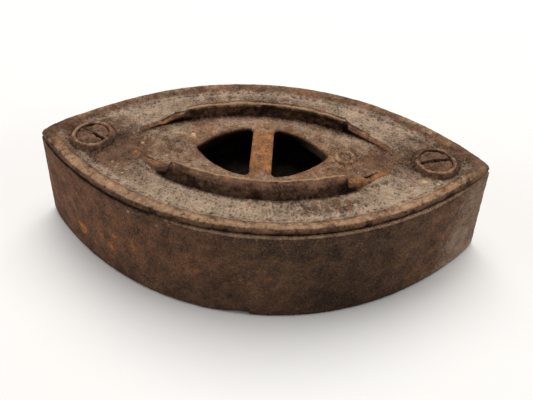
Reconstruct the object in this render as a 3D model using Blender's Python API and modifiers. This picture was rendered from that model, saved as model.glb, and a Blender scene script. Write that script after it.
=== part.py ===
"""Double-pointed cast-iron sad iron, the kind whose wooden handle lifts off.

It is the heating base alone, as it comes off the stove with no handle on it: a heavy body with the flat
working sole, a bed of plaster let into the body, a cap cast with the latch bar and two guide rails, and the
two slotted screws that hold the cap down. Metres, +Z up. The origin is the middle of the sole's flat face,
+X runs from point to point and +Y across.
"""

import math

import bmesh
import bpy
from mathutils import Matrix, Vector

MM = 0.001

# ---- driving dimensions -------------------------------------------------------------------------------
SOLE_LENGTH = 165.0 * MM
SOLE_WIDTH = 86.8 * MM
BODY_HEIGHT = 36.5 * MM
DRAFT_INSET = 3.0 * MM  # how far the sides lean in from the sole to the seam
EDGE_CHAMFER = 0.5 * MM  # the body's edges, at the sole and at the seam
GAP = 0.3 * MM  # clearance between pieces that touch

# The plan outline is y = half_width * (1 - |x / half_length| ** POWER) ** BLUNTNESS.
OUTLINE_POWER = 2.07
OUTLINE_BLUNTNESS = 0.89
OUTLINE_STEPS = 34  # straight pieces on each side, point to point
TIP_RATIO = 1.3  # an even inset moves the points in by this much more than the sides

# Heights above the seam, where the cap meets the body.
RIM_CREST = 2.8 * MM
FIELD = 1.3 * MM
SEAT_FLOOR = 0.85 * MM
RAIL_CREST = 6.2 * MM
RING_CREST = 3.1 * MM
HEAD_TOP = 2.3 * MM

# Depths below the seam.
REGISTER_DEPTH = 2.5 * MM
PAD_DEPTH = 3.7 * MM
WELL_DEPTH = 18.0 * MM
POCKET_DEPTH = 15.0 * MM

SEAM = BODY_HEIGHT
BODY_TOP_LENGTH = SOLE_LENGTH - 2 * DRAFT_INSET
BODY_TOP_WIDTH = SOLE_WIDTH - 2 * DRAFT_INSET

RIM_INSET = 5.7 * MM  # from the cap's edge to the crease inside its rim
RIM_CREST_INSET = 1.9 * MM  # from the cap's edge to the highest line of its rim
RIM_EDGE_SHARE = 0.6  # how much of the rim's height its outer face stands upright
RIM_STEPS = 4
REGISTER_INSET = 6.2 * MM  # from the body's edge to the step that locates the cap
CAP_INSET = 0.4 * MM  # the cap stands this far inside the body's top edge
CAP_UNDERCUT = 0.4 * MM  # the rim's underside is this much narrower than its outer face

RAIL_LENS = (51.0 * MM, 20.5 * MM)  # half length and half width of the rails' inner faces
RAIL_THICKNESS = 4.5 * MM
RAIL_FOOT_FLARE = 0.4 * MM  # how much wider a rail is at its foot
RAIL_FOOT_DEPTH = 1.0 * MM  # how far the foot and the screw rings reach down into the plate
RAIL_TIP_GROWTH = 6.5 * MM  # how much longer the outer faces' lens is than the inner faces'
RAIL_HIGH_REACH = 28.0 * MM  # the high middle part of a rail ends here, each way from the centre
RAIL_STEP_RUN = 2.0 * MM  # it drops to the low part over this length
RAIL_STEP_DROP = 2.4 * MM
RAIL_REACH = 45.0 * MM  # and its low part ends here
RAIL_END_HEIGHT = 0.3 * MM  # this high above the field
# The rounding of a rail's outer face: shares of its thickness, its lens's growth and its height.
RAIL_ROUNDING = ((1.0, 0.95, 0.5), (0.8, 0.83, 0.78), (0.55, 0.62, 0.94), (0.25, 0.23, 1.0))
SEAT_RAMP = 4.5 * MM  # the seat's floor rises to the field over this length at its points

OPENING_LENS = (23.4 * MM, 13.7 * MM)
LATCH_BAR_WIDTH = 7.5 * MM
LATCH_BAR_TURN = math.radians(2.3)  # the bar was cast a little out of square
OPENING_CORNER = 2.4 * MM

PAD_LENS = (40.0 * MM, 21.0 * MM)
PAD_CHAMFER = 0.6 * MM
SEAT_LEAN = 0.2 * MM  # the seat's wall leans out by this much from its floor
POCKET_LENS = (41.0 * MM, 22.0 * MM)
POCKET_LEAN = 2.0 * MM  # the pocket is this much narrower at its floor, all round
WELL_LENS = (51.5 * MM, 27.0 * MM)

SCREW_X = 60.4 * MM
SCREW_HEAD_RADIUS = 5.5 * MM
SCREW_HEAD_HEIGHT = 2.7 * MM
SCREW_HEAD_CROWN = 0.1 * MM
SCREW_HEAD_ROUND = 1.0 * MM  # the rounding of the head's top edge
SCREW_LENGTH = 19.0 * MM  # under the head
SCREW_SHANK_RADIUS = 3.0 * MM
THREAD_CREST_RADIUS = 3.17 * MM
THREAD_ROOT_RADIUS = 2.55 * MM
THREAD_PITCH = 1.27 * MM
THREAD_TURNS = 7
THREAD_STEPS = 12
THREAD_CLEAR_TURNS = 1.2  # turns of bare shank at the tip and above the thread, taken together
THREAD_RUNOUT = 0.5 * MM
THREAD_BITE = 0.3 * MM  # how far the ridge is let into the shank
THREAD_BASE_SHARE = 0.84  # of the pitch
SCREW_TIP_CHAMFER = 0.8 * MM
SCREW_HOLE_RADIUS = THREAD_CREST_RADIUS + GAP
SCREW_HOLE_DEPTH = 23.0 * MM  # below the seam
COUNTERBORE_RADIUS = 5.9 * MM
RING_RADIUS = 6.8 * MM  # at its crest
RING_BASE_RADIUS = 8.7 * MM
SLOT_WIDTH = 1.5 * MM
SLOT_DEPTH = 1.3 * MM
LEFT_SLOT_ANGLE = math.radians(-26)
RIGHT_SLOT_ANGLE = math.radians(18)

MARK_X = 29.3 * MM
MARK_RADIUS = 3.0 * MM
MARK_THICKNESS = 0.8 * MM

ROUND_STEPS = 28
OVERCUT = 2.0 * MM  # how far a cutter stands out of what it cuts

RUST_BROWN = (0.17, 0.085, 0.05)
DUSTY_BROWN = (0.24, 0.15, 0.10)
SCREW_BROWN = (0.16, 0.08, 0.045)
PLASTER_GREY = (0.36, 0.33, 0.29)


def clear_scene():
    for old in list(bpy.data.objects):
        bpy.data.objects.remove(old, do_unlink=True)


def new_collection(name):
    collection = bpy.data.collections.new(name)
    bpy.context.scene.collection.children.link(collection)
    return collection


def new_object(name, mesh, collection):
    made = bpy.data.objects.new(name, mesh)
    collection.objects.link(made)
    return made


def mesh_from(bm, name):
    bmesh.ops.recalc_face_normals(bm, faces=bm.faces)
    mesh = bpy.data.meshes.new(name)
    bm.to_mesh(mesh)
    bm.free()
    return mesh


def new_material(name, colour, roughness, metallic):
    material = bpy.data.materials.new(name)
    material.use_nodes = True
    shader = material.node_tree.nodes["Principled BSDF"]
    shader.inputs["Base Color"].default_value = (*colour, 1.0)
    shader.inputs["Roughness"].default_value = roughness
    shader.inputs["Metallic"].default_value = metallic
    material.diffuse_color = (*colour, 1.0)
    return material


# ---- shapes -------------------------------------------------------------------------------------------
def outline_height(share):
    """Half width of the unit lens at a share of its half length."""
    return max(0.0, 1.0 - abs(share) ** OUTLINE_POWER) ** OUTLINE_BLUNTNESS


def unit_lens():
    """Corner points of the plan outline scaled to half length 1 and half width 1, counter-clockwise."""
    shares = [math.sin(math.pi * (step / OUTLINE_STEPS - 0.5)) for step in range(OUTLINE_STEPS + 1)]
    front = [(share, -outline_height(share)) for share in shares]
    back = [(share, outline_height(share)) for share in reversed(shares[1:-1])]
    return front + back


def arc_lens():
    """As unit_lens, but each side is a plain parabola, as on the rails and the openings."""
    shares = [step * 2.0 / OUTLINE_STEPS - 1.0 for step in range(OUTLINE_STEPS + 1)]
    front = [(share, share**2 - 1.0) for share in shares]
    back = [(share, 1.0 - share**2) for share in reversed(shares[1:-1])]
    return front + back


def inset(lens, distance):
    """Half length and half width of a lens whose side is moved in by a distance all round."""
    return lens[0] - distance * TIP_RATIO, lens[1] - distance


def stacked(name, outline, levels, collection):
    """A closed solid through level sections, each (half length, half width, z), from the bottom up."""
    bm = bmesh.new()
    length, width, z = levels[0]
    points = [bm.verts.new((x * length, y * width, z)) for x, y in outline]
    bm.faces.new(points)
    edges = [bm.edges.get((first, second)) for first, second in zip(points, points[1:] + points[:1])]
    for next_length, next_width, next_z in levels[1:]:
        grown = bmesh.ops.extrude_edge_only(bm, edges=edges)["geom"]
        moved = [item for item in grown if isinstance(item, bmesh.types.BMVert)]
        edges = [item for item in grown if isinstance(item, bmesh.types.BMEdge) and item.is_boundary]
        bmesh.ops.scale(bm, vec=(next_length / length, next_width / width, 1.0), verts=moved)
        bmesh.ops.translate(bm, vec=(0.0, 0.0, next_z - z), verts=moved)
        length, width, z = next_length, next_width, next_z
    bmesh.ops.contextual_create(bm, geom=edges)
    return new_object(name, mesh_from(bm, name), collection)


def block(name, low, high, collection):
    """An upright box between two corners."""
    low, high = Vector(low), Vector(high)
    bm = bmesh.new()
    bmesh.ops.create_cube(bm, size=1.0)
    bmesh.ops.scale(bm, vec=high - low, verts=bm.verts)
    bmesh.ops.translate(bm, vec=(low + high) / 2, verts=bm.verts)
    return new_object(name, mesh_from(bm, name), collection)


def drum(name, x, bottom, top, bottom_radius, top_radius, collection):
    """A round post, hole or cone standing on the centre line at x."""
    bm = bmesh.new()
    bmesh.ops.create_cone(
        bm,
        cap_ends=True,
        segments=ROUND_STEPS,
        radius1=bottom_radius,
        radius2=top_radius,
        depth=top - bottom,
        matrix=Matrix.Translation((x, 0.0, (bottom + top) / 2)),
    )
    return new_object(name, mesh_from(bm, name), collection)


def side_profile(name, points, half_width, collection):
    """A flat shape drawn in X and Z, given thickness across Y."""
    bm = bmesh.new()
    face = bm.faces.new([bm.verts.new((x, -half_width, z)) for x, z in points])
    grown = bmesh.ops.extrude_face_region(bm, geom=[face])["geom"]
    moved = [item for item in grown if isinstance(item, bmesh.types.BMVert)]
    bmesh.ops.translate(bm, vec=(0.0, 2 * half_width, 0.0), verts=moved)
    return new_object(name, mesh_from(bm, name), collection)


def boolean(target, other, operation):
    """Cuts, joins or keeps the overlap with a helper shape, which is then only a guide."""
    modifier = target.modifiers.new(other.name, "BOOLEAN")
    modifier.operation = operation
    modifier.object = other
    other.hide_render = True
    other.display_type = "WIRE"


def settle(target):
    """Turns an object's modifiers into its mesh, so that its own shape can be cut again."""
    depsgraph = bpy.context.evaluated_depsgraph_get()
    mesh = bpy.data.meshes.new_from_object(target.evaluated_get(depsgraph))
    target.modifiers.clear()
    target.data = mesh


def finish(target, material):
    """Gives a piece its material and smooth shading with sharp edges kept."""
    settle(target)
    target.data.materials.clear()
    target.data.materials.append(material)
    target.data.shade_smooth()
    target.data.set_sharp_from_angle(angle=math.radians(35))


# ---- body ---------------------------------------------------------------------------------------------
def sole_body(parts, tools):
    """The heavy casting: flat sole, drafted sides, and a top hollowed for the cap and the plaster."""
    sole = (SOLE_LENGTH / 2, SOLE_WIDTH / 2)
    top = (BODY_TOP_LENGTH / 2, BODY_TOP_WIDTH / 2)
    corner = EDGE_CHAMFER
    levels = [
        (*inset(sole, corner), 0.0),
        (*inset(sole, corner * 0.3), corner * 0.3),
        (*sole, corner),
        (*inset(top, -corner * 0.1), SEAM - corner),
        (*inset(top, corner * 0.2), SEAM - corner * 0.3),
        (*inset(top, corner), SEAM),
    ]
    body = stacked("sole_body", unit_lens(), levels, parts)
    register = inset(top, REGISTER_INSET)
    cut = [(*register, SEAM - REGISTER_DEPTH), (*register, SEAM + OVERCUT)]
    boolean(body, stacked("register_cut", unit_lens(), cut, tools), "DIFFERENCE")
    well = [(*WELL_LENS, SEAM - WELL_DEPTH), (*WELL_LENS, SEAM + OVERCUT)]
    boolean(body, stacked("well_cut", arc_lens(), well, tools), "DIFFERENCE")
    for side, x in (("left", -SCREW_X), ("right", SCREW_X)):
        hole = drum(
            f"tapped_hole_{side}",
            x,
            SEAM - SCREW_HOLE_DEPTH,
            SEAM + OVERCUT,
            SCREW_HOLE_RADIUS,
            SCREW_HOLE_RADIUS,
            tools,
        )
        boolean(body, hole, "DIFFERENCE")
    finish(body, new_material("rusty_body_iron", RUST_BROWN, 0.85, 0.15))


def insulating_fill(parts, tools):
    """The plaster bed that lines the well and keeps heat from the latch, with a pocket for the latch."""
    outer = (WELL_LENS[0] - GAP * TIP_RATIO, WELL_LENS[1] - GAP)
    bottom = SEAM - WELL_DEPTH + GAP
    top = SEAM - REGISTER_DEPTH - GAP
    fill = stacked("insulating_fill", arc_lens(), [(*outer, bottom), (*outer, top)], parts)
    floor = inset(POCKET_LENS, POCKET_LEAN)
    levels = [(*floor, SEAM - POCKET_DEPTH), (*POCKET_LENS, SEAM + OVERCUT)]
    boolean(fill, stacked("pocket_cut", arc_lens(), levels, tools), "DIFFERENCE")
    finish(fill, new_material("old_plaster", PLASTER_GREY, 0.95, 0.0))


# ---- cap ----------------------------------------------------------------------------------------------
def cap_plate(parts):
    """The cap's plate: a step that locates it in the body, a rounded rim and the sunk field inside it."""
    top = (BODY_TOP_LENGTH / 2, BODY_TOP_WIDTH / 2)
    register = inset(top, REGISTER_INSET + GAP)
    edge = inset(top, CAP_INSET)
    levels = [
        (*register, SEAM - REGISTER_DEPTH + GAP),
        (*register, SEAM + GAP),
        (*inset(edge, CAP_UNDERCUT), SEAM + GAP),
    ]
    for step in range(RIM_STEPS + 1):
        share = math.sin(math.pi / 2 * step / RIM_STEPS)
        rise = math.sqrt(1.0 - (1.0 - share) ** 2)
        height = RIM_CREST * (RIM_EDGE_SHARE + (1.0 - RIM_EDGE_SHARE) * rise)
        levels.append((*inset(edge, RIM_CREST_INSET * share), SEAM + height))
    for step in range(1, RIM_STEPS + 1):
        share = step / RIM_STEPS
        height = FIELD + (RIM_CREST - FIELD) * (1.0 - share**2)
        distance = RIM_CREST_INSET + (RIM_INSET - RIM_CREST_INSET) * share
        levels.append((*inset(edge, distance), SEAM + height))
    return stacked("top_cap", unit_lens(), levels, parts)


def rails(tools):
    """Two rails that curve along the sides of the seat, high in the middle and low at the ends."""
    inner_length, inner_width = RAIL_LENS
    foot = SEAM + FIELD - RAIL_FOOT_DEPTH
    outer = [(inner_length + RAIL_TIP_GROWTH, inner_width + RAIL_THICKNESS + RAIL_FOOT_FLARE, foot)]
    for thickness, growth, height in RAIL_ROUNDING:
        length = inner_length + RAIL_TIP_GROWTH * growth
        outer.append((length, inner_width + RAIL_THICKNESS * thickness, SEAM + RAIL_CREST * height))
    strip = stacked("rails", arc_lens(), outer, tools)
    inner = [(*RAIL_LENS, foot - OVERCUT), (*RAIL_LENS, SEAM + RAIL_CREST + OVERCUT)]
    boolean(strip, stacked("rails_inner_cut", arc_lens(), inner, tools), "DIFFERENCE")
    low_step = SEAM + RAIL_CREST - RAIL_STEP_DROP
    low_end = SEAM + FIELD + RAIL_END_HEIGHT
    over = SEAM + RAIL_CREST + OVERCUT
    right = [
        (RAIL_REACH, foot - OVERCUT),
        (RAIL_REACH, low_end),
        (RAIL_HIGH_REACH + RAIL_STEP_RUN, low_step),
        (RAIL_HIGH_REACH, over),
    ]
    left = [(-x, z) for x, z in reversed(right)]
    envelope = side_profile("rails_length", right + left, SOLE_WIDTH / 2, tools)
    boolean(strip, envelope, "INTERSECT")
    settle(strip)
    return strip


def cut_latch_openings(cap, tools):
    """The two windows beside the latch bar: one lens with a straight bar left standing across it."""
    bottom, over = SEAM - PAD_DEPTH - OVERCUT, SEAM + SEAT_FLOOR + OVERCUT
    for side, sign in (("left", -1), ("right", 1)):
        window = stacked(
            f"latch_window_{side}",
            unit_lens(),
            [(*OPENING_LENS, bottom), (*OPENING_LENS, over)],
            tools,
        )
        near, far = sorted((sign * LATCH_BAR_WIDTH / 2, sign * SOLE_LENGTH / 2))
        half = block(
            f"latch_window_half_{side}",
            (near, -SOLE_WIDTH / 2, bottom - OVERCUT),
            (far, SOLE_WIDTH / 2, over + OVERCUT),
            tools,
        )
        half.data.transform(Matrix.Rotation(LATCH_BAR_TURN, 4, "Z"))
        boolean(window, half, "INTERSECT")
        settle(window)
        round_upright_corners(window)
        boolean(cap, window, "DIFFERENCE")


def round_upright_corners(solid):
    """Rounds a straight-sided solid's sharp upright corners."""
    bm = bmesh.new()
    bm.from_mesh(solid.data)
    bmesh.ops.remove_doubles(bm, verts=bm.verts, dist=0.001 * MM)
    upright = [edge for edge in bm.edges if abs(edge.verts[0].co.z - edge.verts[1].co.z) > OVERCUT]
    corners = [
        edge
        for edge in upright
        if abs(edge.verts[0].co.x) < LATCH_BAR_WIDTH and edge.calc_face_angle() > math.radians(45)
    ]
    centres = [corner.verts[0].co for corner in corners]
    crowding = [
        edge
        for edge in upright
        if edge not in corners
        and any((edge.verts[0].co - centre).xy.length < 1.5 * OPENING_CORNER for centre in centres)
    ]
    bmesh.ops.dissolve_edges(bm, edges=crowding, use_verts=True)
    bmesh.ops.bevel(
        bm,
        geom=corners,
        offset=OPENING_CORNER,
        segments=5,
        profile=0.5,
        affect="EDGES",
    )
    bm.to_mesh(solid.data)
    bm.free()


def mark_ring(name, x, tools):
    """A small plain ring cast on the seat beside a latch window."""
    bpy.ops.mesh.primitive_torus_add(
        major_segments=20,
        minor_segments=6,
        major_radius=MARK_RADIUS,
        minor_radius=MARK_THICKNESS,
        location=(x, 0.0, SEAM + SEAT_FLOOR),
    )
    ring = bpy.context.object
    ring.name = name
    for collection in list(ring.users_collection):
        collection.objects.unlink(ring)
    tools.objects.link(ring)
    return ring


def top_cap(parts, tools):
    """The cover casting, in one piece with its rails, its screw rings, its pad and the latch bar."""
    cap = cap_plate(parts)
    pad = [
        (*inset(PAD_LENS, PAD_CHAMFER), SEAM - PAD_DEPTH),
        (*PAD_LENS, SEAM - PAD_DEPTH + PAD_CHAMFER),
        (*PAD_LENS, SEAM),
    ]
    boolean(cap, stacked("latch_pad", arc_lens(), pad, tools), "UNION")
    boolean(cap, rails(tools), "UNION")
    seat_floor = (RAIL_LENS[0] - SEAT_RAMP, RAIL_LENS[1] - SEAT_LEAN)
    seat = [
        (*seat_floor, SEAM + SEAT_FLOOR),
        (*RAIL_LENS, SEAM + FIELD),
        (*RAIL_LENS, SEAM + RAIL_CREST + OVERCUT),
    ]
    boolean(cap, stacked("seat_cut", arc_lens(), seat, tools), "DIFFERENCE")
    for side, x in (("left", -1), ("right", 1)):
        boolean(cap, mark_ring(f"mark_{side}", x * MARK_X, tools), "UNION")
        cut_screw_seat(cap, side, x * SCREW_X, tools)
    settle(cap)
    cut_latch_openings(cap, tools)
    finish(cap, new_material("dusty_cap_iron", DUSTY_BROWN, 0.9, 0.1))


def cut_screw_seat(cap, side, x, tools):
    """A raised ring round a counterbore and a clearance hole, for one cap screw."""
    ring = drum(
        f"screw_ring_{side}",
        x,
        SEAM + FIELD - RAIL_FOOT_DEPTH,
        SEAM + RING_CREST,
        RING_BASE_RADIUS,
        RING_RADIUS,
        tools,
    )
    boolean(cap, ring, "UNION")
    floor = SEAM + HEAD_TOP - SCREW_HEAD_HEIGHT - GAP
    bore = drum(
        f"counterbore_{side}",
        x,
        floor,
        SEAM + RING_CREST + OVERCUT,
        COUNTERBORE_RADIUS,
        COUNTERBORE_RADIUS,
        tools,
    )
    boolean(cap, bore, "DIFFERENCE")
    hole = drum(
        f"clearance_hole_{side}",
        x,
        SEAM - REGISTER_DEPTH - OVERCUT,
        floor + OVERCUT,
        SCREW_HOLE_RADIUS,
        SCREW_HOLE_RADIUS,
        tools,
    )
    boolean(cap, hole, "DIFFERENCE")


# ---- screws -------------------------------------------------------------------------------------------
def turned(name, profile, steps, collection):
    """A solid of revolution from a profile of (radius, z) that runs down its outer side."""
    bm = bmesh.new()
    points = [bm.verts.new((radius, 0.0, z)) for radius, z in profile]
    for first, second in zip(points, points[1:]):
        bm.edges.new((first, second))
    mesh = bpy.data.meshes.new(name)
    bm.to_mesh(mesh)
    bm.free()
    made = new_object(name, mesh, collection)
    screw = made.modifiers.new("turned", "SCREW")
    screw.steps = steps
    screw.render_steps = steps
    screw.use_merge_vertices = True
    screw.merge_threshold = 0.00001
    screw.use_normal_calculate = True
    return made


def thread_ridge(name, collection):
    """A three-cornered ridge wound round the shank, closed at both of its ends."""
    half_base = THREAD_PITCH * THREAD_BASE_SHARE / 2
    corners = [
        (THREAD_ROOT_RADIUS - THREAD_BITE, half_base),
        (THREAD_CREST_RADIUS, 0.0),
        (THREAD_ROOT_RADIUS - THREAD_BITE, -half_base),
    ]
    bm = bmesh.new()
    points = [bm.verts.new((radius, 0.0, z)) for radius, z in corners]
    for index, point in enumerate(points):
        bm.edges.new((point, points[(index + 1) % len(points)]))
    mesh = bpy.data.meshes.new(name)
    bm.to_mesh(mesh)
    bm.free()
    ridge = new_object(name, mesh, collection)
    screw = ridge.modifiers.new("wound", "SCREW")
    screw.steps = THREAD_STEPS
    screw.render_steps = THREAD_STEPS
    screw.iterations = THREAD_TURNS
    screw.screw_offset = THREAD_PITCH
    settle(ridge)
    bm = bmesh.new()
    bm.from_mesh(ridge.data)
    bmesh.ops.holes_fill(bm, edges=bm.edges)
    bmesh.ops.recalc_face_normals(bm, faces=bm.faces)
    bm.to_mesh(ridge.data)
    bm.free()
    return ridge


def cap_screw(side, x, slot_angle, parts, tools):
    """A slotted cheese-head screw with a real thread, sunk in its ring on the cap."""
    under = -SCREW_HEAD_HEIGHT
    tip = under - SCREW_LENGTH
    thread_start = tip + THREAD_PITCH * (THREAD_TURNS + THREAD_CLEAR_TURNS)
    profile = [
        (0.0, 0.0),
        (SCREW_HEAD_RADIUS - SCREW_HEAD_ROUND, -SCREW_HEAD_CROWN),
        (SCREW_HEAD_RADIUS - SCREW_HEAD_ROUND * 0.2, -SCREW_HEAD_ROUND * 0.5),
        (SCREW_HEAD_RADIUS, -SCREW_HEAD_ROUND),
        (SCREW_HEAD_RADIUS, under),
        (SCREW_SHANK_RADIUS, under),
        (SCREW_SHANK_RADIUS, thread_start + THREAD_RUNOUT),
        (THREAD_ROOT_RADIUS, thread_start),
        (THREAD_ROOT_RADIUS, tip + SCREW_TIP_CHAMFER),
        (THREAD_ROOT_RADIUS - SCREW_TIP_CHAMFER, tip),
        (0.0, tip),
    ]
    screw = turned(f"cap_screw_{side}", profile, ROUND_STEPS, parts)
    ridge = thread_ridge(f"thread_{side}", tools)
    ridge.location = (x, 0.0, SEAM + HEAD_TOP + tip + THREAD_PITCH)
    slot = block(
        f"slot_{side}",
        (-SCREW_HEAD_RADIUS - OVERCUT, -SLOT_WIDTH / 2, -SLOT_DEPTH),
        (SCREW_HEAD_RADIUS + OVERCUT, SLOT_WIDTH / 2, OVERCUT),
        tools,
    )
    slot.location = (x, 0.0, SEAM + HEAD_TOP)
    slot.rotation_euler = (0.0, 0.0, slot_angle)
    screw.location = (x, 0.0, SEAM + HEAD_TOP)
    bpy.context.view_layer.update()
    boolean(screw, ridge, "UNION")
    boolean(screw, slot, "DIFFERENCE")
    finish(screw, new_material(f"rusty_screw_iron_{side}", SCREW_BROWN, 0.8, 0.25))


def main():
    clear_scene()
    parts = new_collection("sad_iron")
    tools = new_collection("cutters")
    sole_body(parts, tools)
    insulating_fill(parts, tools)
    top_cap(parts, tools)
    cap_screw("left", -SCREW_X, LEFT_SLOT_ANGLE, parts, tools)
    cap_screw("right", SCREW_X, RIGHT_SLOT_ANGLE, parts, tools)


main()
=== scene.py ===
"""The looks of a worn, rusted sad iron base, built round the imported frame.

Each casting starts as a copy of its frame solid, cut into an even fine grid. Its surface is then worked
the way iron weathers: sand grain from the mould, pits, lifted scale, rubbed edges and nicks. Masks of where
dust lies, where rust is fresh and where the metal is rubbed are kept on the mesh for the shaders to read.
Metres, +Z up, with the origin in the middle of the sole.
"""

import logging
import math
from dataclasses import dataclass
from enum import Enum

import bpy
import numpy as np
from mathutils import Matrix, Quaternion, Vector


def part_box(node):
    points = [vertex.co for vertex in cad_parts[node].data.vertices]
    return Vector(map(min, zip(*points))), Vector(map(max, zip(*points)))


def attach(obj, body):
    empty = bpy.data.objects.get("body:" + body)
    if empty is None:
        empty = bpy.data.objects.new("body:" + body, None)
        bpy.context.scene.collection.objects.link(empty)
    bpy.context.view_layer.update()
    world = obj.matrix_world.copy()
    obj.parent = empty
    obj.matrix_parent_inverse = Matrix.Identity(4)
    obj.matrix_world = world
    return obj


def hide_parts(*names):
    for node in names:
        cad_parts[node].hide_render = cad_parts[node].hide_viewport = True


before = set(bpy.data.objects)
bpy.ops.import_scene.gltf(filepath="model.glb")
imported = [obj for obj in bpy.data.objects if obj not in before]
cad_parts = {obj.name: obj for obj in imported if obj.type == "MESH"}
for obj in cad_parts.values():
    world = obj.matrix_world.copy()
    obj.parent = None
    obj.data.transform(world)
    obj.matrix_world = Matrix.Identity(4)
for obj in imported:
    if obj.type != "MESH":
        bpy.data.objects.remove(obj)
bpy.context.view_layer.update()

LOG = logging.getLogger("sad_iron")
MM = 0.001
Array = np.ndarray
Colour = tuple[float, float, float]


class Node(str, Enum):
    """The frame's solids."""

    BODY = "sole_body"
    CAP = "top_cap"
    FILL = "insulating_fill"
    LEFT_SCREW = "cap_screw_left"
    RIGHT_SCREW = "cap_screw_right"


class Slot(str, Enum):
    """The record's material slots."""

    BODY_IRON = "body_iron"
    CAP_IRON = "cap_iron"
    PLASTER = "plaster"
    SCREW_STEEL = "screw_steel"


class Mask(str, Enum):
    """The values kept on each mesh point for the shaders, from 0 to 1 but for the hollow."""

    HOLLOW = "hollow"  # from -1 on a ridge to 1 in a crevice
    DUST = "dust"  # grey-beige dust and old ash, and painted light at the ends of the body's sides
    WARM = "warm"  # fresh orange rust
    RUB = "rub"  # handled and rubbed edges, and a painted highlight on the cast marks' crests
    SOOT_AND_SHADE = "soot"  # sooty blackening, and painted shade in recesses, gaps and on faces turned from the light
    GRIT = "grit"  # pale crumbs stuck on the surface
    RED = "red"  # redder, thinner rust


# ---- noise and mesh work ------------------------------------------------------------------------------
def ramp(values: Array, low: float, high: float) -> Array:
    """Smooth step of values from 0 at low to 1 at high.

    Args:
        values: what to step.
        low: where the step starts. It may be above high for a falling step.
        high: where the step ends.

    Returns:
        An array from 0 to 1.
    """
    share = np.clip((values - low) / (high - low), 0.0, 1.0)
    return share * share * (3.0 - 2.0 * share)


@dataclass(frozen=True)
class Grain:
    """A seeded noise field over space, the same on every run."""

    size: float
    seed: int

    def _hash(self, cells: Array, salt: int) -> Array:
        """Returns a number from 0 to 1 for each integer cell.

        Args:
            cells: cell indices, one row of three for each point.
            salt: picks one of several independent numbers.

        Returns:
            One number for each row.
        """
        x, y, z = (cells[:, axis].astype(np.uint32) for axis in range(3))
        mixed = x * np.uint32(374761393) + y * np.uint32(668265263) + z * np.uint32(2246822519)
        mixed = mixed + np.uint32((self.seed * 3266489917 + salt * 1181783497) % 2**32)
        mixed = (mixed ^ (mixed >> np.uint32(15))) * np.uint32(2654435761)
        mixed = (mixed ^ (mixed >> np.uint32(13))) * np.uint32(3266489917)
        return (mixed ^ (mixed >> np.uint32(16))).astype(np.float64) / 2**32

    def smooth(self, points: Array, size: float | None = None, salt: int = 0) -> Array:
        """Value noise from -1 to 1.

        Args:
            points: places in metres.
            size: feature size, or the field's own when None.
            salt: picks one of several independent fields.

        Returns:
            One value for each point.
        """
        scaled = points / (size or self.size)
        base = np.floor(scaled).astype(np.int64)
        share = scaled - base
        share = share * share * (3.0 - 2.0 * share)
        total = np.zeros(len(points))
        for corner in np.ndindex(2, 2, 2):
            weight = np.prod([share[:, a] if corner[a] else 1.0 - share[:, a] for a in range(3)], axis=0)
            total += weight * self._hash(base + np.array(corner), salt)
        return total * 2.0 - 1.0

    def fractal(self, points: Array, octaves: int = 3) -> Array:
        """Layered value noise, about -1 to 1.

        Args:
            points: places in metres.
            octaves: how many layers, each half the size and half the strength of the last.

        Returns:
            One value for each point.
        """
        total = np.zeros(len(points))
        for octave in range(octaves):
            total += self.smooth(points, self.size / 2**octave, octave) / 2**octave
        return total / 1.5

    def spots(self, points: Array, share: float, smallest: float = 0.2, largest: float = 0.5) -> Array:
        """Round spots scattered one to a cell, 1 at their middles.

        Args:
            points: places in metres.
            share: the share of cells that hold a spot.
            smallest: the least radius, in cells.
            largest: the greatest radius, in cells.

        Returns:
            For each point, the height of the highest spot there.
        """
        scaled = points / self.size
        base = np.floor(scaled).astype(np.int64)
        best = np.zeros(len(points))
        for step in np.ndindex(3, 3, 3):
            cell = base + np.array(step) - 1
            centre = cell + np.stack([self._hash(cell, salt) for salt in (11, 12, 13)], axis=1)
            radius = smallest + (largest - smallest) * self._hash(cell, 14)
            away = np.linalg.norm(scaled - centre, axis=1) / radius
            best = np.maximum(best, ramp(away, 1.0, 0.25) * (self._hash(cell, 15) < share))
        return best


def modified_mesh(source: bpy.types.Object) -> bpy.types.Mesh:
    """Copies an object's mesh as its modifiers leave it.

    Args:
        source: the object.

    Returns:
        The new mesh.
    """
    return bpy.data.meshes.new_from_object(source.evaluated_get(bpy.context.evaluated_depsgraph_get()))


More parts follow.
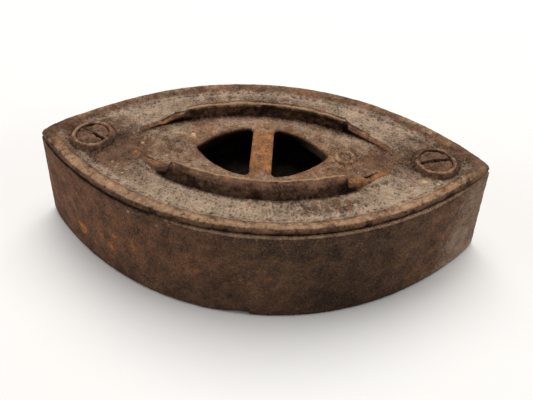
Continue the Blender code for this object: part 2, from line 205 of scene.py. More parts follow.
class Surface:
    """A fine even mesh cut from a frame solid, worked on as arrays."""

    def __init__(self, node: Node, grid: float) -> None:
        """Cuts a copy of a frame solid into an even grid.

        Args:
            node: the frame solid.
            grid: the side of the grid's squares.
        """
        source = bpy.data.objects.new("rough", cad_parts[node.value].data.copy())
        bpy.context.scene.collection.objects.link(source)
        cut = source.modifiers.new("even_grid", "REMESH")
        cut.mode = "VOXEL"
        cut.voxel_size = grid
        self.mesh = modified_mesh(source)
        bpy.data.objects.remove(source)
        self.mesh.materials.clear()
        self.node = node
        edges = np.empty(len(self.mesh.edges) * 2, np.int32)
        self.mesh.edges.foreach_get("vertices", edges)
        self.first, self.second = edges.reshape(-1, 2).T
        self.neighbours = np.bincount(edges, minlength=len(self.mesh.vertices))
        self.points = self._read("co")

    def _read(self, what: str) -> Array:
        """Reads a property of every point.

        Args:
            what: co for places or normal for directions.

        Returns:
            One row of three for each point.
        """
        flat = np.empty(len(self.mesh.vertices) * 3, np.float32)
        self.mesh.vertices.foreach_get(what, flat)
        return flat.reshape(-1, 3).astype(np.float64)

    def normals(self) -> Array:
        """Puts the points into the mesh and works its normals out.

        Returns:
            The outward normal of each point as it stands now.
        """
        self.mesh.vertices.foreach_set("co", self.points.astype(np.float32).ravel())
        self.mesh.update()
        return self._read("normal")

    def averaged(self, values: Array, rounds: int) -> Array:
        """Spreads values over the mesh.

        Args:
            values: one number, or one row, for each point.
            rounds: how many times each point takes the mean of its neighbours and itself.

        Returns:
            The spread values.
        """
        count = len(self.neighbours)
        rows = values.reshape(count, -1)
        for _ in range(rounds):
            columns = []
            for column in rows.T:
                total = np.bincount(self.first, column[self.second], count)
                total += np.bincount(self.second, column[self.first], count)
                columns.append(0.5 * column + 0.5 * total / self.neighbours)
            rows = np.stack(columns, axis=1)
        return rows.reshape(values.shape)

    def relax(self, rounds: int) -> None:
        """Takes the grid's steps and the sharpest corners off."""
        self.points = self.averaged(self.points, rounds)

    def push(self, depth: Array) -> None:
        """Moves each point out along its normal by a depth in metres."""
        self.points += self.normals() * depth[:, None]

    def hollow(self, rounds: int, full: float) -> Array:
        """How far each point lies below the surface round it.

        Args:
            rounds: how far round each point to look, in grid squares squared.
            full: the depth that counts as 1.

        Returns:
            Values from -1 on a ridge to 1 in a crevice.
        """
        gap = self.averaged(self.points, rounds) - self.points
        return np.clip((gap * self.normals()).sum(axis=1) / full, -1.0, 1.0)

    def keep(self, masks: dict[Mask, Array]) -> None:
        """Stores masks on the mesh for the shaders, cut off at 1 and at 0, or at -1 for the hollow.

        Args:
            masks: the value of each point, for each mask.
        """
        for mask, values in masks.items():
            least = -1.0 if mask is Mask.HOLLOW else 0.0
            made = self.mesh.attributes.new(mask.value, "FLOAT", "POINT")
            made.data.foreach_set("value", np.clip(values, least, 1.0).astype(np.float32))

    def piece(self, name: str, material: bpy.types.Material, most: int) -> bpy.types.Object:
        """Turns the surface into the piece that stands for its frame solid.

        Args:
            name: the piece's name.
            material: the finish.
            most: the most triangles that the piece may have. Flat stretches are thinned first.

        Returns:
            The finished object.
        """
        self.normals()
        made = bpy.data.objects.new(name, self.mesh)
        bpy.context.scene.collection.objects.link(made)
        triangles = 2 * len(self.mesh.polygons)
        if triangles > most:
            thin = made.modifiers.new("thin_flats", "DECIMATE")
            thin.ratio = most / triangles
            thinned = modified_mesh(made)
            made.modifiers.clear()
            made.data = thinned
        made.data.name = name
        made.data.shade_smooth()
        made.data.materials.clear()
        made.data.materials.append(material)
        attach(made, "root")
        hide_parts(self.node.value)
        LOG.info("%s: %d points", name, len(made.data.vertices))
        return made


@dataclass(frozen=True)
class PointedOval:
    """The pointed oval that the iron's outlines follow, seen from above."""

    half_length: float
    half_width: float
    power: float = 2.07
    bluntness: float = 0.89

    def half_width_at(self, x: Array) -> Array:
        """Half the width across the oval at each x."""
        share = np.clip(np.abs(x) / self.half_length, 0.0, 1.0)
        return self.half_width * (1.0 - share**self.power) ** self.bluntness

    def inside(self, points: Array) -> Array:
        """Distance in from the edge, negative outside.

        Args:
            points: places in metres. Only X and Y count.

        Returns:
            One distance for each point, measured square to the edge.
        """
        x, y = points[:, 0], points[:, 1]
        step = 0.5 * MM
        slope = (self.half_width_at(x + step) - self.half_width_at(x - step)) / (2 * step)
        return (self.half_width_at(x) - np.abs(y)) / np.sqrt(1.0 + slope * slope)


# ---- shader building ----------------------------------------------------------------------------------
Socket = bpy.types.NodeSocket


class Graph:
    """A shader node tree that is being wired."""

    def __init__(self, tree: bpy.types.NodeTree) -> None:
        """Takes the tree to add nodes to."""
        self.tree = tree

    def add(self, kind: str, values: dict | None = None, **settings: object) -> bpy.types.Node:
        """Adds a node.

        Args:
            kind: the node's type.
            values: for each input's name or number, a socket to wire in or a plain value.
            settings: the node's own properties.

        Returns:
            The new node.
        """
        node = self.tree.nodes.new(kind)
        for name, value in settings.items():
            setattr(node, name, value)
        for key, value in (values or {}).items():
            self.put(value, node.inputs[key])
        return node

    def put(self, value: object, target: Socket) -> None:
        """Wires a socket into another, or sets it to a plain value.

        Args:
            value: the socket to wire in, or the plain value. A colour needs no alpha.
            target: the socket that takes it.
        """
        if isinstance(value, bpy.types.NodeSocket):
            self.tree.links.new(value, target)
        elif isinstance(value, tuple) and len(value) == 3 and target.type == "RGBA":
            target.default_value = (*value, 1.0)
        else:
            target.default_value = value

    def maths(self, operation: str, a: object, b: object = 0.0, clamp: bool = False) -> Socket:
        """One step of arithmetic.

        Args:
            operation: the step's name.
            a: the first value.
            b: the second value.
            clamp: whether to cut the result off at 0 and 1.

        Returns:
            The result.
        """
        node = self.add("ShaderNodeMath", {0: a, 1: b}, operation=operation, use_clamp=clamp)
        return node.outputs[0]

    def step(
        self, value: object, low: object, high: object, start: object = 0.0, end: object = 1.0
    ) -> Socket:
        """A smooth step of a value.

        Args:
            value: what to step.
            low: where the step starts.
            high: where the step ends.
            start: the result up to low.
            end: the result from high on.

        Returns:
            The stepped value.
        """
        values = {"Value": value, "From Min": low, "From Max": high, "To Min": start, "To Max": end}
        return self.add("ShaderNodeMapRange", values, interpolation_type="SMOOTHSTEP").outputs[0]

    def blend(self, share: object, a: object, b: object, mode: str = "MIX") -> Socket:
        """Two colours mixed.

        Args:
            share: how much of the second, from 0 to 1.
            a: the first colour.
            b: the second colour.
            mode: how they mix.

        Returns:
            The mixed colour.
        """
        node = self.add("ShaderNodeMix", data_type="RGBA", blend_type=mode, clamp_factor=True)
        self.put(share, node.inputs[0])
        self.put(a, node.inputs[6])
        self.put(b, node.inputs[7])
        return node.outputs[2]

    def swing(self, noise: Socket, reach: float) -> Socket:
        """Spreads a noise from minus to plus a reach."""
        return self.step(noise, 0.3, 0.7, -reach, reach)

    def noise(self, position: Socket, size: object, detail: float = 3.0, roughness: float = 0.6) -> Socket:
        """Cloudy noise, mostly from 0.25 to 0.75.

        Args:
            position: places in metres.
            size: the size of its largest features, in metres.
            detail: how many finer layers it has.
            roughness: how strong the finer layers are.

        Returns:
            The noise value.
        """
        scale = self.maths("DIVIDE", 1.0, size)
        values = {"Vector": position, "Scale": scale, "Detail": detail, "Roughness": roughness}
        return self.add("ShaderNodeTexNoise", values, normalize=True).outputs["Fac"]

    def cells(self, position: Socket, size: object) -> tuple[Socket, Socket]:
        """Scattered points.

        Args:
            position: places in metres.
            size: about how far apart the points are, in metres.

        Returns:
            The distance to the nearest point, in sizes, and that point's own random colour.
        """
        scale = self.maths("DIVIDE", 1.0, size)
        node = self.add("ShaderNodeTexVoronoi", {"Vector": position, "Scale": scale}, feature="F1")
        return node.outputs["Distance"], node.outputs["Color"]

    def mask(self, mask: Mask) -> Socket:
        """A mask kept on the mesh."""
        return self.add("ShaderNodeAttribute", attribute_name=mask.value).outputs["Fac"]

    def group(self, tree: bpy.types.NodeTree, **values: object) -> bpy.types.Node:
        """Places a shared effect, with its inputs by name in lower case and underscores.

        Args:
            tree: the effect's node group.
            values: for each input, a socket to wire in or a plain value.

        Returns:
            The group node.
        """
        node = self.add("ShaderNodeGroup", node_tree=tree)
        for name, value in values.items():
            self.put(value, node.inputs[name.replace("_", " ").title()])
        return node


class Effect:
    """A shared shader effect: a node group with named inputs and outputs."""

    KINDS = {float: "NodeSocketFloat", tuple: "NodeSocketColor", Vector: "NodeSocketVector"}

    def __init__(self, name: str, inputs: dict[str, object], outputs: dict[str, type]) -> None:
        """Makes the group's sockets.

        Args:
            name: the group's name.
            inputs: each input's name, with its default or, for a position, the Vector type.
            outputs: each output's name, with float for a value and tuple for a colour.
        """
        self.tree = bpy.data.node_groups.new(name, "ShaderNodeTree")
        for label, default in inputs.items():
            kind = Vector if default is Vector else type(default)
            made = self.tree.interface.new_socket(label, in_out="INPUT", socket_type=self.KINDS[kind])
            if kind is float:
                made.default_value = default
            elif kind is tuple:
                made.default_value = (*default, 1.0)
        for label, kind in outputs.items():
            self.tree.interface.new_socket(label, in_out="OUTPUT", socket_type=self.KINDS[kind])
        self.graph = Graph(self.tree)
        self.given = self.graph.add("NodeGroupInput").outputs
        self.result = self.graph.add("NodeGroupOutput").inputs

    def give(self, **values: Socket) -> bpy.types.NodeTree:
        """Wires the outputs.

        Args:
            values: for each output's name in lower case, the socket that feeds it.

        Returns:
            The finished group.
        """
        for name, value in values.items():
            self.graph.put(value, self.result[name.title()])
        return self.tree


class Effects:
    """Every shared effect, built once."""

    def __init__(self) -> None:
        """Builds the groups."""
        self.rust_mottle = self._rust_mottle()
        self.rust_bloom = self._rust_bloom()
        self.cast_grain = self._cast_grain()
        self.dust_veil = self._dust_veil()
        self.edge_rub = self._edge_rub()
        self.grime_and_painted_shade = self._grime_and_painted_shade()

    @staticmethod
    def _rust_mottle() -> bpy.types.NodeTree:
        """Old rust: cloudy patches of dark and mid brown, flecked with a paler brown.

        Returns:
            The group, which gives a colour and how far from dark each place is.
        """
        effect = Effect(
            "rust_mottle",
            {"Position": Vector, "Dark": (0.05, 0.03, 0.02), "Mid": (0.12, 0.06, 0.04),
             "Pale": (0.2, 0.12, 0.08), "Patch Size": 0.01},
            {"Color": tuple, "Patch": float},
        )
        graph, given = effect.graph, effect.given
        cloud = graph.noise(given["Position"], given["Patch Size"], 8.0, 0.72)
        patch = graph.step(cloud, 0.36, 0.64)
        colour = graph.blend(patch, given["Dark"], given["Mid"])
        fleck_size = graph.maths("MULTIPLY", given["Patch Size"], 0.1)
        flecks = graph.noise(given["Position"], fleck_size, 5.0, 0.8)
        colour = graph.blend(graph.step(flecks, 0.5, 0.74), colour, given["Pale"])
        return effect.give(color=colour, patch=patch)

    @staticmethod
    def _rust_bloom() -> bpy.types.NodeTree:
        """Small ragged spots of fresh rust, scattered, with a share of them missing.

        Returns:
            The group, which gives a mask.
        """
        effect = Effect(
            "rust_bloom",
            {"Position": Vector, "Spacing": 0.003, "Share": 0.3, "Spot Size": 0.3},
            {"Mask": float},
        )
        graph, given = effect.graph, effect.given
        away, own = graph.cells(given["Position"], given["Spacing"])
        ragged = graph.noise(given["Position"], graph.maths("MULTIPLY", given["Spacing"], 0.35), 3.0, 0.7)
        away = graph.maths("ADD", away, graph.swing(ragged, 0.15))
        chance = graph.add("ShaderNodeSeparateColor", {0: own})
        reach = graph.maths("MULTIPLY", given["Spot Size"], chance.outputs[1])
        spot = graph.step(away, reach, graph.maths("MULTIPLY", reach, 0.4))
        there = graph.maths("LESS_THAN", chance.outputs[0], given["Share"])
        return effect.give(mask=graph.maths("MULTIPLY", spot, there, clamp=True))

    @staticmethod
    def _cast_grain() -> bpy.types.NodeTree:
        """The sandy skin of a casting, with ragged pores in clusters darkened as painted shade.

        Returns:
            The group, which gives a height and a shade to multiply the colour by.
        """
        effect = Effect(
            "cast_grain",
            {"Position": Vector, "Grain Size": 0.0006, "Pore Size": 0.0011, "Pore Share": 0.4,
             "Contrast": 0.4, "Pore Shade": 0.6},
            {"Height": float, "Shade": float},
        )
        graph, given = effect.graph, effect.given
        sand = graph.noise(given["Position"], given["Grain Size"], 5.0, 0.8)
        low = graph.maths("SUBTRACT", 1.0, given["Contrast"])
        high = graph.maths("ADD", 1.0, given["Contrast"])
        shade = graph.step(sand, 0.28, 0.72, low, high)
        clump_size = graph.maths("MULTIPLY", given["Grain Size"], 7.0)
        clumps = graph.noise(given["Position"], clump_size, 4.0, 0.65)
        shade = graph.maths("MULTIPLY", shade, graph.step(clumps, 0.28, 0.72, 0.76, 1.22))
        away, own = graph.cells(given["Position"], given["Pore Size"])
        away = graph.maths("ADD", away, graph.swing(sand, -0.16))
        chance = graph.add("ShaderNodeSeparateColor", {0: own}).outputs[2]
        share = graph.maths("MULTIPLY", given["Pore Share"], graph.step(clumps, 0.62, 0.38, 0.3, 1.5))
        there = graph.maths("LESS_THAN", chance, share)
        pores = graph.maths("MULTIPLY", graph.step(away, 0.36, 0.12), there)
        # Pores darken the colour: painted shade in pits finer than the mesh.
        sunk = graph.maths("MULTIPLY", pores, given["Pore Shade"])
        shade = graph.maths("MULTIPLY", shade, graph.maths("SUBTRACT", 1.0, sunk))
        height = graph.maths("SUBTRACT", sand, graph.maths("MULTIPLY", pores, 0.6))
        return effect.give(height=height, shade=shade)

    @staticmethod
    def _dust_veil() -> bpy.types.NodeTree:
        """Dust and ash: thick where the mask says and in hollows, broken up by bare grains.

        Returns:
            The group, which gives the dusted colour and where the dust lies.
        """
        effect = Effect(
            "dust_veil",
            {"Position": Vector, "Under": (0.1, 0.06, 0.04), "Dust": (0.3, 0.25, 0.2),
             "Amount": 0.5, "Hollow": 0.0, "Clump Size": 0.0009},
            {"Color": tuple, "Mask": float},
        )
        graph, given = effect.graph, effect.given
        clumps = graph.noise(given["Position"], given["Clump Size"], 5.0, 0.8)
        drift = graph.noise(given["Position"], graph.maths("MULTIPLY", given["Clump Size"], 6.0), 5.0, 0.7)
        amount = graph.maths("ADD", given["Amount"], graph.swing(drift, 0.15))
        amount = graph.maths("ADD", amount, graph.maths("MULTIPLY", given["Hollow"], 0.1))
        floor = graph.step(amount, 0.0, 1.0, 0.66, 0.14)
        lies = graph.step(clumps, floor, graph.maths("ADD", floor, 0.4), 0.0, 0.95)
        lies = graph.maths("MULTIPLY", lies, graph.step(given["Amount"], 0.0, 0.25), clamp=True)
        return effect.give(color=graph.blend(lies, given["Under"], given["Dust"]), mask=lies)

    @staticmethod
    def _edge_rub() -> bpy.types.NodeTree:
        """Rubbed high places, ragged, and strongest on ridges.

        Returns:
            The group, which gives a mask.
        """
        effect = Effect(
            "edge_rub",
            {"Position": Vector, "Rubbed": 0.0, "Hollow": 0.0, "Patch Size": 0.0021},
            {"Mask": float},
        )
        graph, given = effect.graph, effect.given
        ragged = graph.noise(given["Position"], given["Patch Size"], 6.0, 0.75)
        ridge = graph.maths("MULTIPLY", given["Rubbed"], graph.step(given["Hollow"], 0.2, -0.7, 0.75, 1.5))
        worn = graph.maths("ADD", ridge, graph.swing(ragged, 0.28))
        return effect.give(mask=graph.step(worn, 0.22, 0.85))

    @staticmethod
    def _grime_and_painted_shade() -> bpy.types.NodeTree:
        """Darkens crevices with painted shade, and darkens where its mask of sooty blackening and painted
        shade says.

        Returns:
            The group, which gives a shade to multiply the colour by.
        """
        effect = Effect("grime_and_painted_shade", {"Soot": 0.0, "Hollow": 0.0}, {"Shade": float})
        graph, given = effect.graph, effect.given
        # Painted shade: the deeper a crevice lies, the darker it is.
        crevice = graph.step(given["Hollow"], 0.05, 0.8, 1.0, 0.35)
        black = graph.step(given["Soot"], 0.0, 1.0, 1.0, 0.03)
        return effect.give(shade=graph.maths("MULTIPLY", crevice, black))


def multiplied(graph: Graph, colour: Socket, shade: Socket) -> Socket:
    """A colour made lighter or darker, all its channels alike.

    Args:
        graph: the tree to wire in.
        colour: the colour.
        shade: what to multiply it by.

    Returns:
        The shaded colour.
    """
    tint = graph.add("ShaderNodeCombineColor", {0: shade, 1: shade, 2: shade}).outputs[0]
    return graph.blend(1.0, colour, tint, "MULTIPLY")


def blank_material(
    name: str, roughness: float, shine: float
) -> tuple[bpy.types.Material, Graph, bpy.types.Node]:
    """Starts a material on one Principled shader.

    Args:
        name: the material's name.
        roughness: how matt it is, from 0 to 1.
        shine: how strongly it reflects, from 0 to 1.

    Returns:
        The material, its node tree to wire in, and its shader.
    """
    made = bpy.data.materials.new(name)
    made.use_nodes = True
    shader = made.node_tree.nodes["Principled BSDF"]
    shader.inputs["Roughness"].default_value = roughness
    shader.inputs["Specular IOR Level"].default_value = shine
    return made, Graph(made.node_tree), shader


@dataclass(frozen=True)
class IronFinish:
    """Rusted cast iron or steel. Colours are linear, sizes in metres."""

    name: str
    dark: Colour
    mid: Colour
    pale: Colour
    red: Colour
    fresh: Colour
    dust: Colour
    rubbed: Colour
    grit: Colour = (0.72, 0.47, 0.24)
    patch_size: float = 0.009
    fresh_size: float = 0.0018
    grain_size: float = 0.00065
    contrast: float = 0.45
    relief: float = 0.00022
    pore_share: float = 0.4
    pore_shade: float = 0.55
    bloom_share: float = 0.25
    bloom_spacing: float = 0.0032
    bloom_strength: float = 0.4
    clump_size: float = 0.0006
    roughness: float = 0.9
    rubbed_roughness: float = 0.7
    shine: float = 0.12

    def material(self, effects: Effects) -> bpy.types.Material:
        """Builds the material.

        Args:
            effects: the shared effects.

        Returns:
            The finished material.
        """
        made, graph, shader = blank_material(self.name, self.roughness, self.shine)
        position = graph.add("ShaderNodeTexCoord").outputs["Object"]
        hollow = graph.mask(Mask.HOLLOW)
        colour = self._rusted(graph, effects, position)
        rub = graph.group(effects.edge_rub, position=position, rubbed=graph.mask(Mask.RUB), hollow=hollow)
        colour = graph.blend(graph.maths("MULTIPLY", rub.outputs[0], 0.8), colour, self.rubbed)
        veil = graph.group(
            effects.dust_veil, position=position, under=colour, dust=self.dust,
            amount=graph.mask(Mask.DUST), hollow=hollow, clump_size=self.clump_size,
        )
        grain = graph.group(
            effects.cast_grain, position=position, grain_size=self.grain_size, pore_share=self.pore_share,
            contrast=self.contrast, pore_shade=self.pore_shade,
        )
        # Painted shade in crevices and under the mask of sooty blackening and painted shade.
        grime_and_shade = graph.group(effects.grime_and_painted_shade, soot=graph.mask(Mask.SOOT_AND_SHADE), hollow=hollow)
        shade = graph.maths("MULTIPLY", grain.outputs["Shade"], grime_and_shade.outputs["Shade"])
        colour = multiplied(graph, veil.outputs["Color"], shade)
        colour = graph.blend(graph.mask(Mask.GRIT), colour, self.grit)
        graph.put(colour, shader.inputs["Base Color"])
        rough = graph.step(rub.outputs[0], 0.0, 1.0, self.roughness, self.rubbed_roughness)
        rough = graph.maths("ADD", rough, graph.maths("MULTIPLY", veil.outputs["Mask"], 0.08), clamp=True)
        graph.put(rough, shader.inputs["Roughness"])
        dust_lift = graph.maths("MULTIPLY", veil.outputs["Mask"], 0.5)
        lift = graph.maths("ADD", grain.outputs["Height"], dust_lift)
        bump = graph.add("ShaderNodeBump", {"Height": lift, "Distance": self.relief, "Strength": 1.0})
        graph.put(bump.outputs[0], shader.inputs["Normal"])
        return made

    def _rusted(self, graph: Graph, effects: Effects, position: Socket) -> Socket:
        """Old rust, redder and fresher where the masks say so.

        Args:
            graph: the material's tree.
            effects: the shared effects.
            position: places in metres.

        Returns:
            The rust's colour.
        """
        rust = graph.group(
            effects.rust_mottle, position=position, dark=self.dark, mid=self.mid, pale=self.pale,
            patch_size=self.patch_size,
        )
        redness = graph.step(rust.outputs["Patch"], 0.0, 1.0, 0.35, 0.85)
        reddened = graph.blend(redness, rust.outputs["Color"], self.red)
        colour = graph.blend(graph.mask(Mask.RED), rust.outputs["Color"], reddened)
        bloom = graph.group(
            effects.rust_bloom, position=position, spacing=self.bloom_spacing, share=self.bloom_share
        )
        spots = graph.maths("MULTIPLY", bloom.outputs[0], self.bloom_strength)
        warm = graph.maths("ADD", graph.mask(Mask.WARM), spots, clamp=True)
        cloud = graph.noise(position, self.fresh_size, 5.0, 0.75)
        freshened = graph.blend(graph.step(cloud, 0.3, 0.62), self.mid, self.fresh)
        return graph.blend(warm, colour, freshened)


@dataclass(frozen=True)
class PlasterFinish:
    """Old plaster, sooty and blackened with rust dust, and near black as painted shade for the deep pocket
    under the windows.
    """

    name: str = "plaster_soot_and_painted_shade"
    # Near-black colours: sooty plaster, and painted shade for the pocket's depth.
    dark: Colour = (0.012, 0.009, 0.008)
    light: Colour = (0.03, 0.021, 0.016)
    relief: float = 0.0003
    roughness: float = 0.95
    shine: float = 0.05

    def material(self, effects: Effects) -> bpy.types.Material:
        """Builds the material.

        Args:
            effects: the shared effects.

        Returns:
            The finished material.
        """
        made, graph, shader = blank_material(self.name, self.roughness, self.shine)
        position = graph.add("ShaderNodeTexCoord").outputs["Object"]
        rust = graph.group(
            effects.rust_mottle, position=position, dark=self.dark, mid=self.light, pale=self.light
        )
        grain = graph.group(effects.cast_grain, position=position)
        colour = multiplied(graph, rust.outputs["Color"], grain.outputs["Shade"])
        graph.put(colour, shader.inputs["Base Color"])
        bump = graph.add("ShaderNodeBump", {"Height": grain.outputs["Height"], "Distance": self.relief})
        graph.put(bump.outputs[0], shader.inputs["Normal"])
        return made


# ---- the iron -----------------------------------------------------------------------------------------
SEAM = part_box(Node.BODY.value)[1].z


@dataclass(frozen=True)
class Patch:
    """A soft-edged round area, centred by X and Y on the top or by X and Z on a side."""

    along: float
    across: float
    radius: float
    strength: float


def patches(*rows: tuple[float, float, float, float]) -> tuple[Patch, ...]:
    """Makes patches from rows of millimetres.

    Args:
        rows: for each patch, its two places, its radius and its strength.

    Returns:
        The patches.
    """
    return tuple(Patch(row[0] * MM, row[1] * MM, row[2] * MM, row[3]) for row in rows)


def over_top(marks: tuple[Patch, ...], points: Array) -> Array:
    """The strengths of the top's patches added up at each point.

    Args:
        marks: the patches, by X and Y.
        points: places in metres.

    Returns:
        One value for each point.
    """
    total = np.zeros(len(points))
    for mark in marks:
        away = np.hypot(points[:, 0] - mark.along, points[:, 1] - mark.across)
        total += mark.strength * np.exp(-((away / mark.radius) ** 2))
    return total


def over_sides(
    marks: tuple[Patch, ...], points: Array, outline: PointedOval, stretch: float = 1.0
) -> Array:
    """The strengths of the sides' patches added up at each point, the back as the front turned half round.

    Args:
        marks: the patches on the front side, by X and Z.
        points: places in metres.
        outline: the outline that the sides follow.
        stretch: how many times longer each patch is along the side than it is high.

    Returns:
        One value for each point.
    """
    total = np.zeros(len(points))
    for mark in marks:
        depth = float(outline.half_width_at(np.array(mark.along)))
        for turn in (1.0, -1.0):
            centre = np.array([turn * mark.along, -turn * depth, mark.across])
            away = np.linalg.norm((points - centre) / (stretch, stretch, 1.0), axis=1)
            total += mark.strength * np.exp(-((away / mark.radius) ** 2))
    return total


def blended(areas: dict[str, Array], strengths: dict[str, float]) -> Array:
    """Adds areas up, each times its own strength.

    Args:
        areas: the share of each point that belongs to each area.
        strengths: the strength on each area that counts.

    Returns:
        One value for each point.
    """
    return sum(strength * areas[name] for name, strength in strengths.items())


def along_side(points: Array) -> Array:
    """Where along its side each point lies: its X on the front, and its X turned half round on the back.

    Args:
        points: places in metres.

    Returns:
        One place for each point, negative towards the front's left end.
    """
    return points[:, 0] * -np.sign(points[:, 1])


@dataclass
class SoleBody:
    """The heavy casting: the sole, the sides that lean in to the seam, and the hollow top."""

    grid: float = 0.5 * MM
    most: int = 190_000
    lean: float = 3.0 * MM
    skin: float = 0.7 * MM
    land_width: float = 6.2 * MM
    lip_width: float = 1.0 * MM
    tip_start: float = 79.0 * MM
    tip_blend: float = 3.0 * MM
    tip_rounds: int = 14
    swell: float = 0.15 * MM
    scale_lift: float = 0.05 * MM
    sand_lift: float = 0.06 * MM
    pit_depth: float = 0.12 * MM
    nick_start: float = -14.0 * MM
    nick_end: float = 0.3 * MM
    nick_depth: float = 0.75 * MM
    nick_height: float = 3.5 * MM
    nick_line: float = -36.0 * MM
    hollow_rounds: int = 8
    hollow_depth: float = 0.12 * MM
    # Noise fields, each with its size and seed.
    swell_grain: Grain = Grain(0.022, 3)
    scale_grain: Grain = Grain(0.0045, 4)
    sand_grain: Grain = Grain(0.0013, 5)
    pit_grain: Grain = Grain(0.0028, 6)
    nick_grain: Grain = Grain(0.002, 8)
    cloud_grain: Grain = Grain(0.012, 9)
    ragged_grain: Grain = Grain(0.0012, 10)
    speck_grain: Grain = Grain(0.006, 12)
    # Strengths of dust, rubbing, sooty blackening, painted shade and painted light, from 0 to 1.
    lip_dust: float = 0.45
    lip_rub: float = 0.9
    cloudy_dust: float = 0.2
    # Dust at the ends of the sides, partly painted light where they turn towards the side lamps.
    right_end_dust_and_painted_light: float = 0.7
    left_end_dust_and_painted_light: float = 0.25
    low_edge_dust: float = 0.25
    # Painted shade low in the middle of the side, and a painted shadow towards the right.
    low_middle_painted_shade: float = 0.24
    right_shadow: float = 0.28
    # Painted shade on the land in the gap under the cap, and sooty blackening with painted shade in the
    # well and the windows' walls.
    land_painted_shade: float = 0.6
    inside_soot_and_painted_shade: float = 0.5
    sole_rub: float = 0.3
    red_stretch: float = 1.5
    # Where along the side a stain, painted light or painted shade starts and where it is full, or its
    # middle.
    open_lip: tuple[float, float] = (-44.0 * MM, -18.0 * MM)
    right_end: tuple[float, float] = (54.0 * MM, 76.0 * MM)
    left_end: tuple[float, float] = (-62.0 * MM, -82.0 * MM)
    painted_shade_middle: float = 8.0 * MM
    shadow_middle: float = 36.0 * MM
    fresh_rust: tuple[Patch, ...] = patches(
        (-62.8, 10.4, 2.2, 1.5),
        (-53.3, 14.7, 1.3, 1.1),
        (-48.9, 13.5, 1.9, 1.4),
        (-47.7, 18.4, 1.1, 1.0),
        (-40.2, 17.8, 1.5, 0.8),
        (-57.0, 8.0, 1.2, 0.6),
        (-64.0, 25.5, 1.4, 0.5),
        (-66.5, 2.0, 1.8, 0.9),
        (-17.2, 17.8, 1.1, 0.8),
        (7.3, 18.7, 1.2, 0.5),
        (74.0, 27.0, 1.5, 0.5),
        (73.5, 33.0, 1.3, 0.4),
    )
    red_rust: tuple[Patch, ...] = patches(
        (-68.0, 22.0, 22.0, 0.95),
        (-42.0, 20.0, 20.0, 0.5),
        (-24.0, 22.0, 14.0, 0.35),
        (-16.0, 16.0, 7.0, 0.3),
        (7.0, 13.0, 9.0, 0.4),
        (50.0, 12.0, 12.0, 0.2),
        (78.0, 24.0, 16.0, 0.3),
    )
    crumbs: tuple[Patch, ...] = patches(
        (-40.2, 34.0, 0.45, 1.0),
        (-30.0, 33.0, 0.4, 0.8),
    )

    def build(self, effects: Effects) -> bpy.types.Object:
        """Works and dresses the casting.

        Args:
            effects: the shared effects.

        Returns:
            The finished piece.
        """
        surface = Surface(Node.BODY, self.grid)
        tip = ramp(np.abs(surface.points[:, 0]), self.tip_start, self.tip_start + self.tip_blend)
        softened = surface.averaged(surface.points, self.tip_rounds)
        surface.relax(2)
        surface.points += (softened - surface.points) * tip[:, None]
        start = surface.points.copy()
        zones = self._zones(start)
        surface.push(self._weathering(start, zones))
        self._nick_edge(surface)
        self._keep_masks(surface, start, zones)
        return surface.piece("rusted_sole_body", self.finish().material(effects), self.most)

    def _outline(self, height: float | Array) -> PointedOval:
        """The outline of the sides at one height, or at one for each point.

        Args:
            height: the height above the floor.

        Returns:
            The outline.
        """
        low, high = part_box(Node.BODY.value)
        narrowed = self.lean * height / SEAM
        return PointedOval((high.x - low.x) / 2 - narrowed, (high.y - low.y) / 2 - narrowed)

    def _zones(self, points: Array) -> dict[str, Array]:
        """Splits the casting into its areas.

        Args:
            points: places in metres.

        Returns:
            For each area's name, the share of each point that belongs to it.
        """
        height = points[:, 2]
        inside = self._outline(height).inside(points)
        outer = ramp(inside, 2 * self.skin, self.skin)
        top = ramp(height, SEAM - self.skin, SEAM - 0.3 * self.skin)
        return {
            "side": outer * (1.0 - top),
            "land": top * ramp(inside, self.land_width + self.skin, self.land_width),
            "sole": ramp(height, self.skin, 0.3 * self.skin),
            "lip": top * ramp(inside, self.lip_width + 0.4 * MM, self.lip_width),
        }

    def _weathering(self, points: Array, zones: dict[str, Array]) -> Array:
        """How far the weather moved each point out along its normal.

        Args:
            points: places in metres.
            zones: the areas.

        Returns:
            One depth for each point.
        """
        swell = self.swell_grain.fractal(points, 3) * self.swell
        scale = ramp(self.scale_grain.fractal(points, 4), 0.05, 0.4) * self.scale_lift
        sand = self.sand_grain.fractal(points, 2) * self.sand_lift
        pits = self.pit_grain.spots(points, 0.35, 0.15, 0.4) * self.pit_depth
        outside = (swell + scale + sand - pits) * np.maximum(zones["side"], zones["land"])
        worn = -0.3 * np.abs(sand) - 0.5 * pits
        return outside * (1.0 - zones["sole"]) + worn * zones["sole"]

    def _nick_edge(self, surface: Surface) -> None:
        """Wears the sole's front edge up to a small step, where a piece broke away.

        Args:
            surface: the surface to work.
        """
        x, y, z = surface.points.T
        reach = ramp(x, self.nick_start, self.nick_end - 1.5 * MM)
        reach *= ramp(x, self.nick_end + 0.6 * MM, self.nick_end)
        front = ramp(y, self.nick_line, self.nick_line - 4.0 * MM)
        front *= ramp(z, self.nick_height, self.nick_height - 3.0 * MM)
        ragged = 1.0 + 0.25 * self.nick_grain.fractal(surface.points, 2)
        lost = self.nick_depth * reach * front * ragged
        surface.points[:, 2] += lost
        surface.points[:, 1] += 0.5 * lost

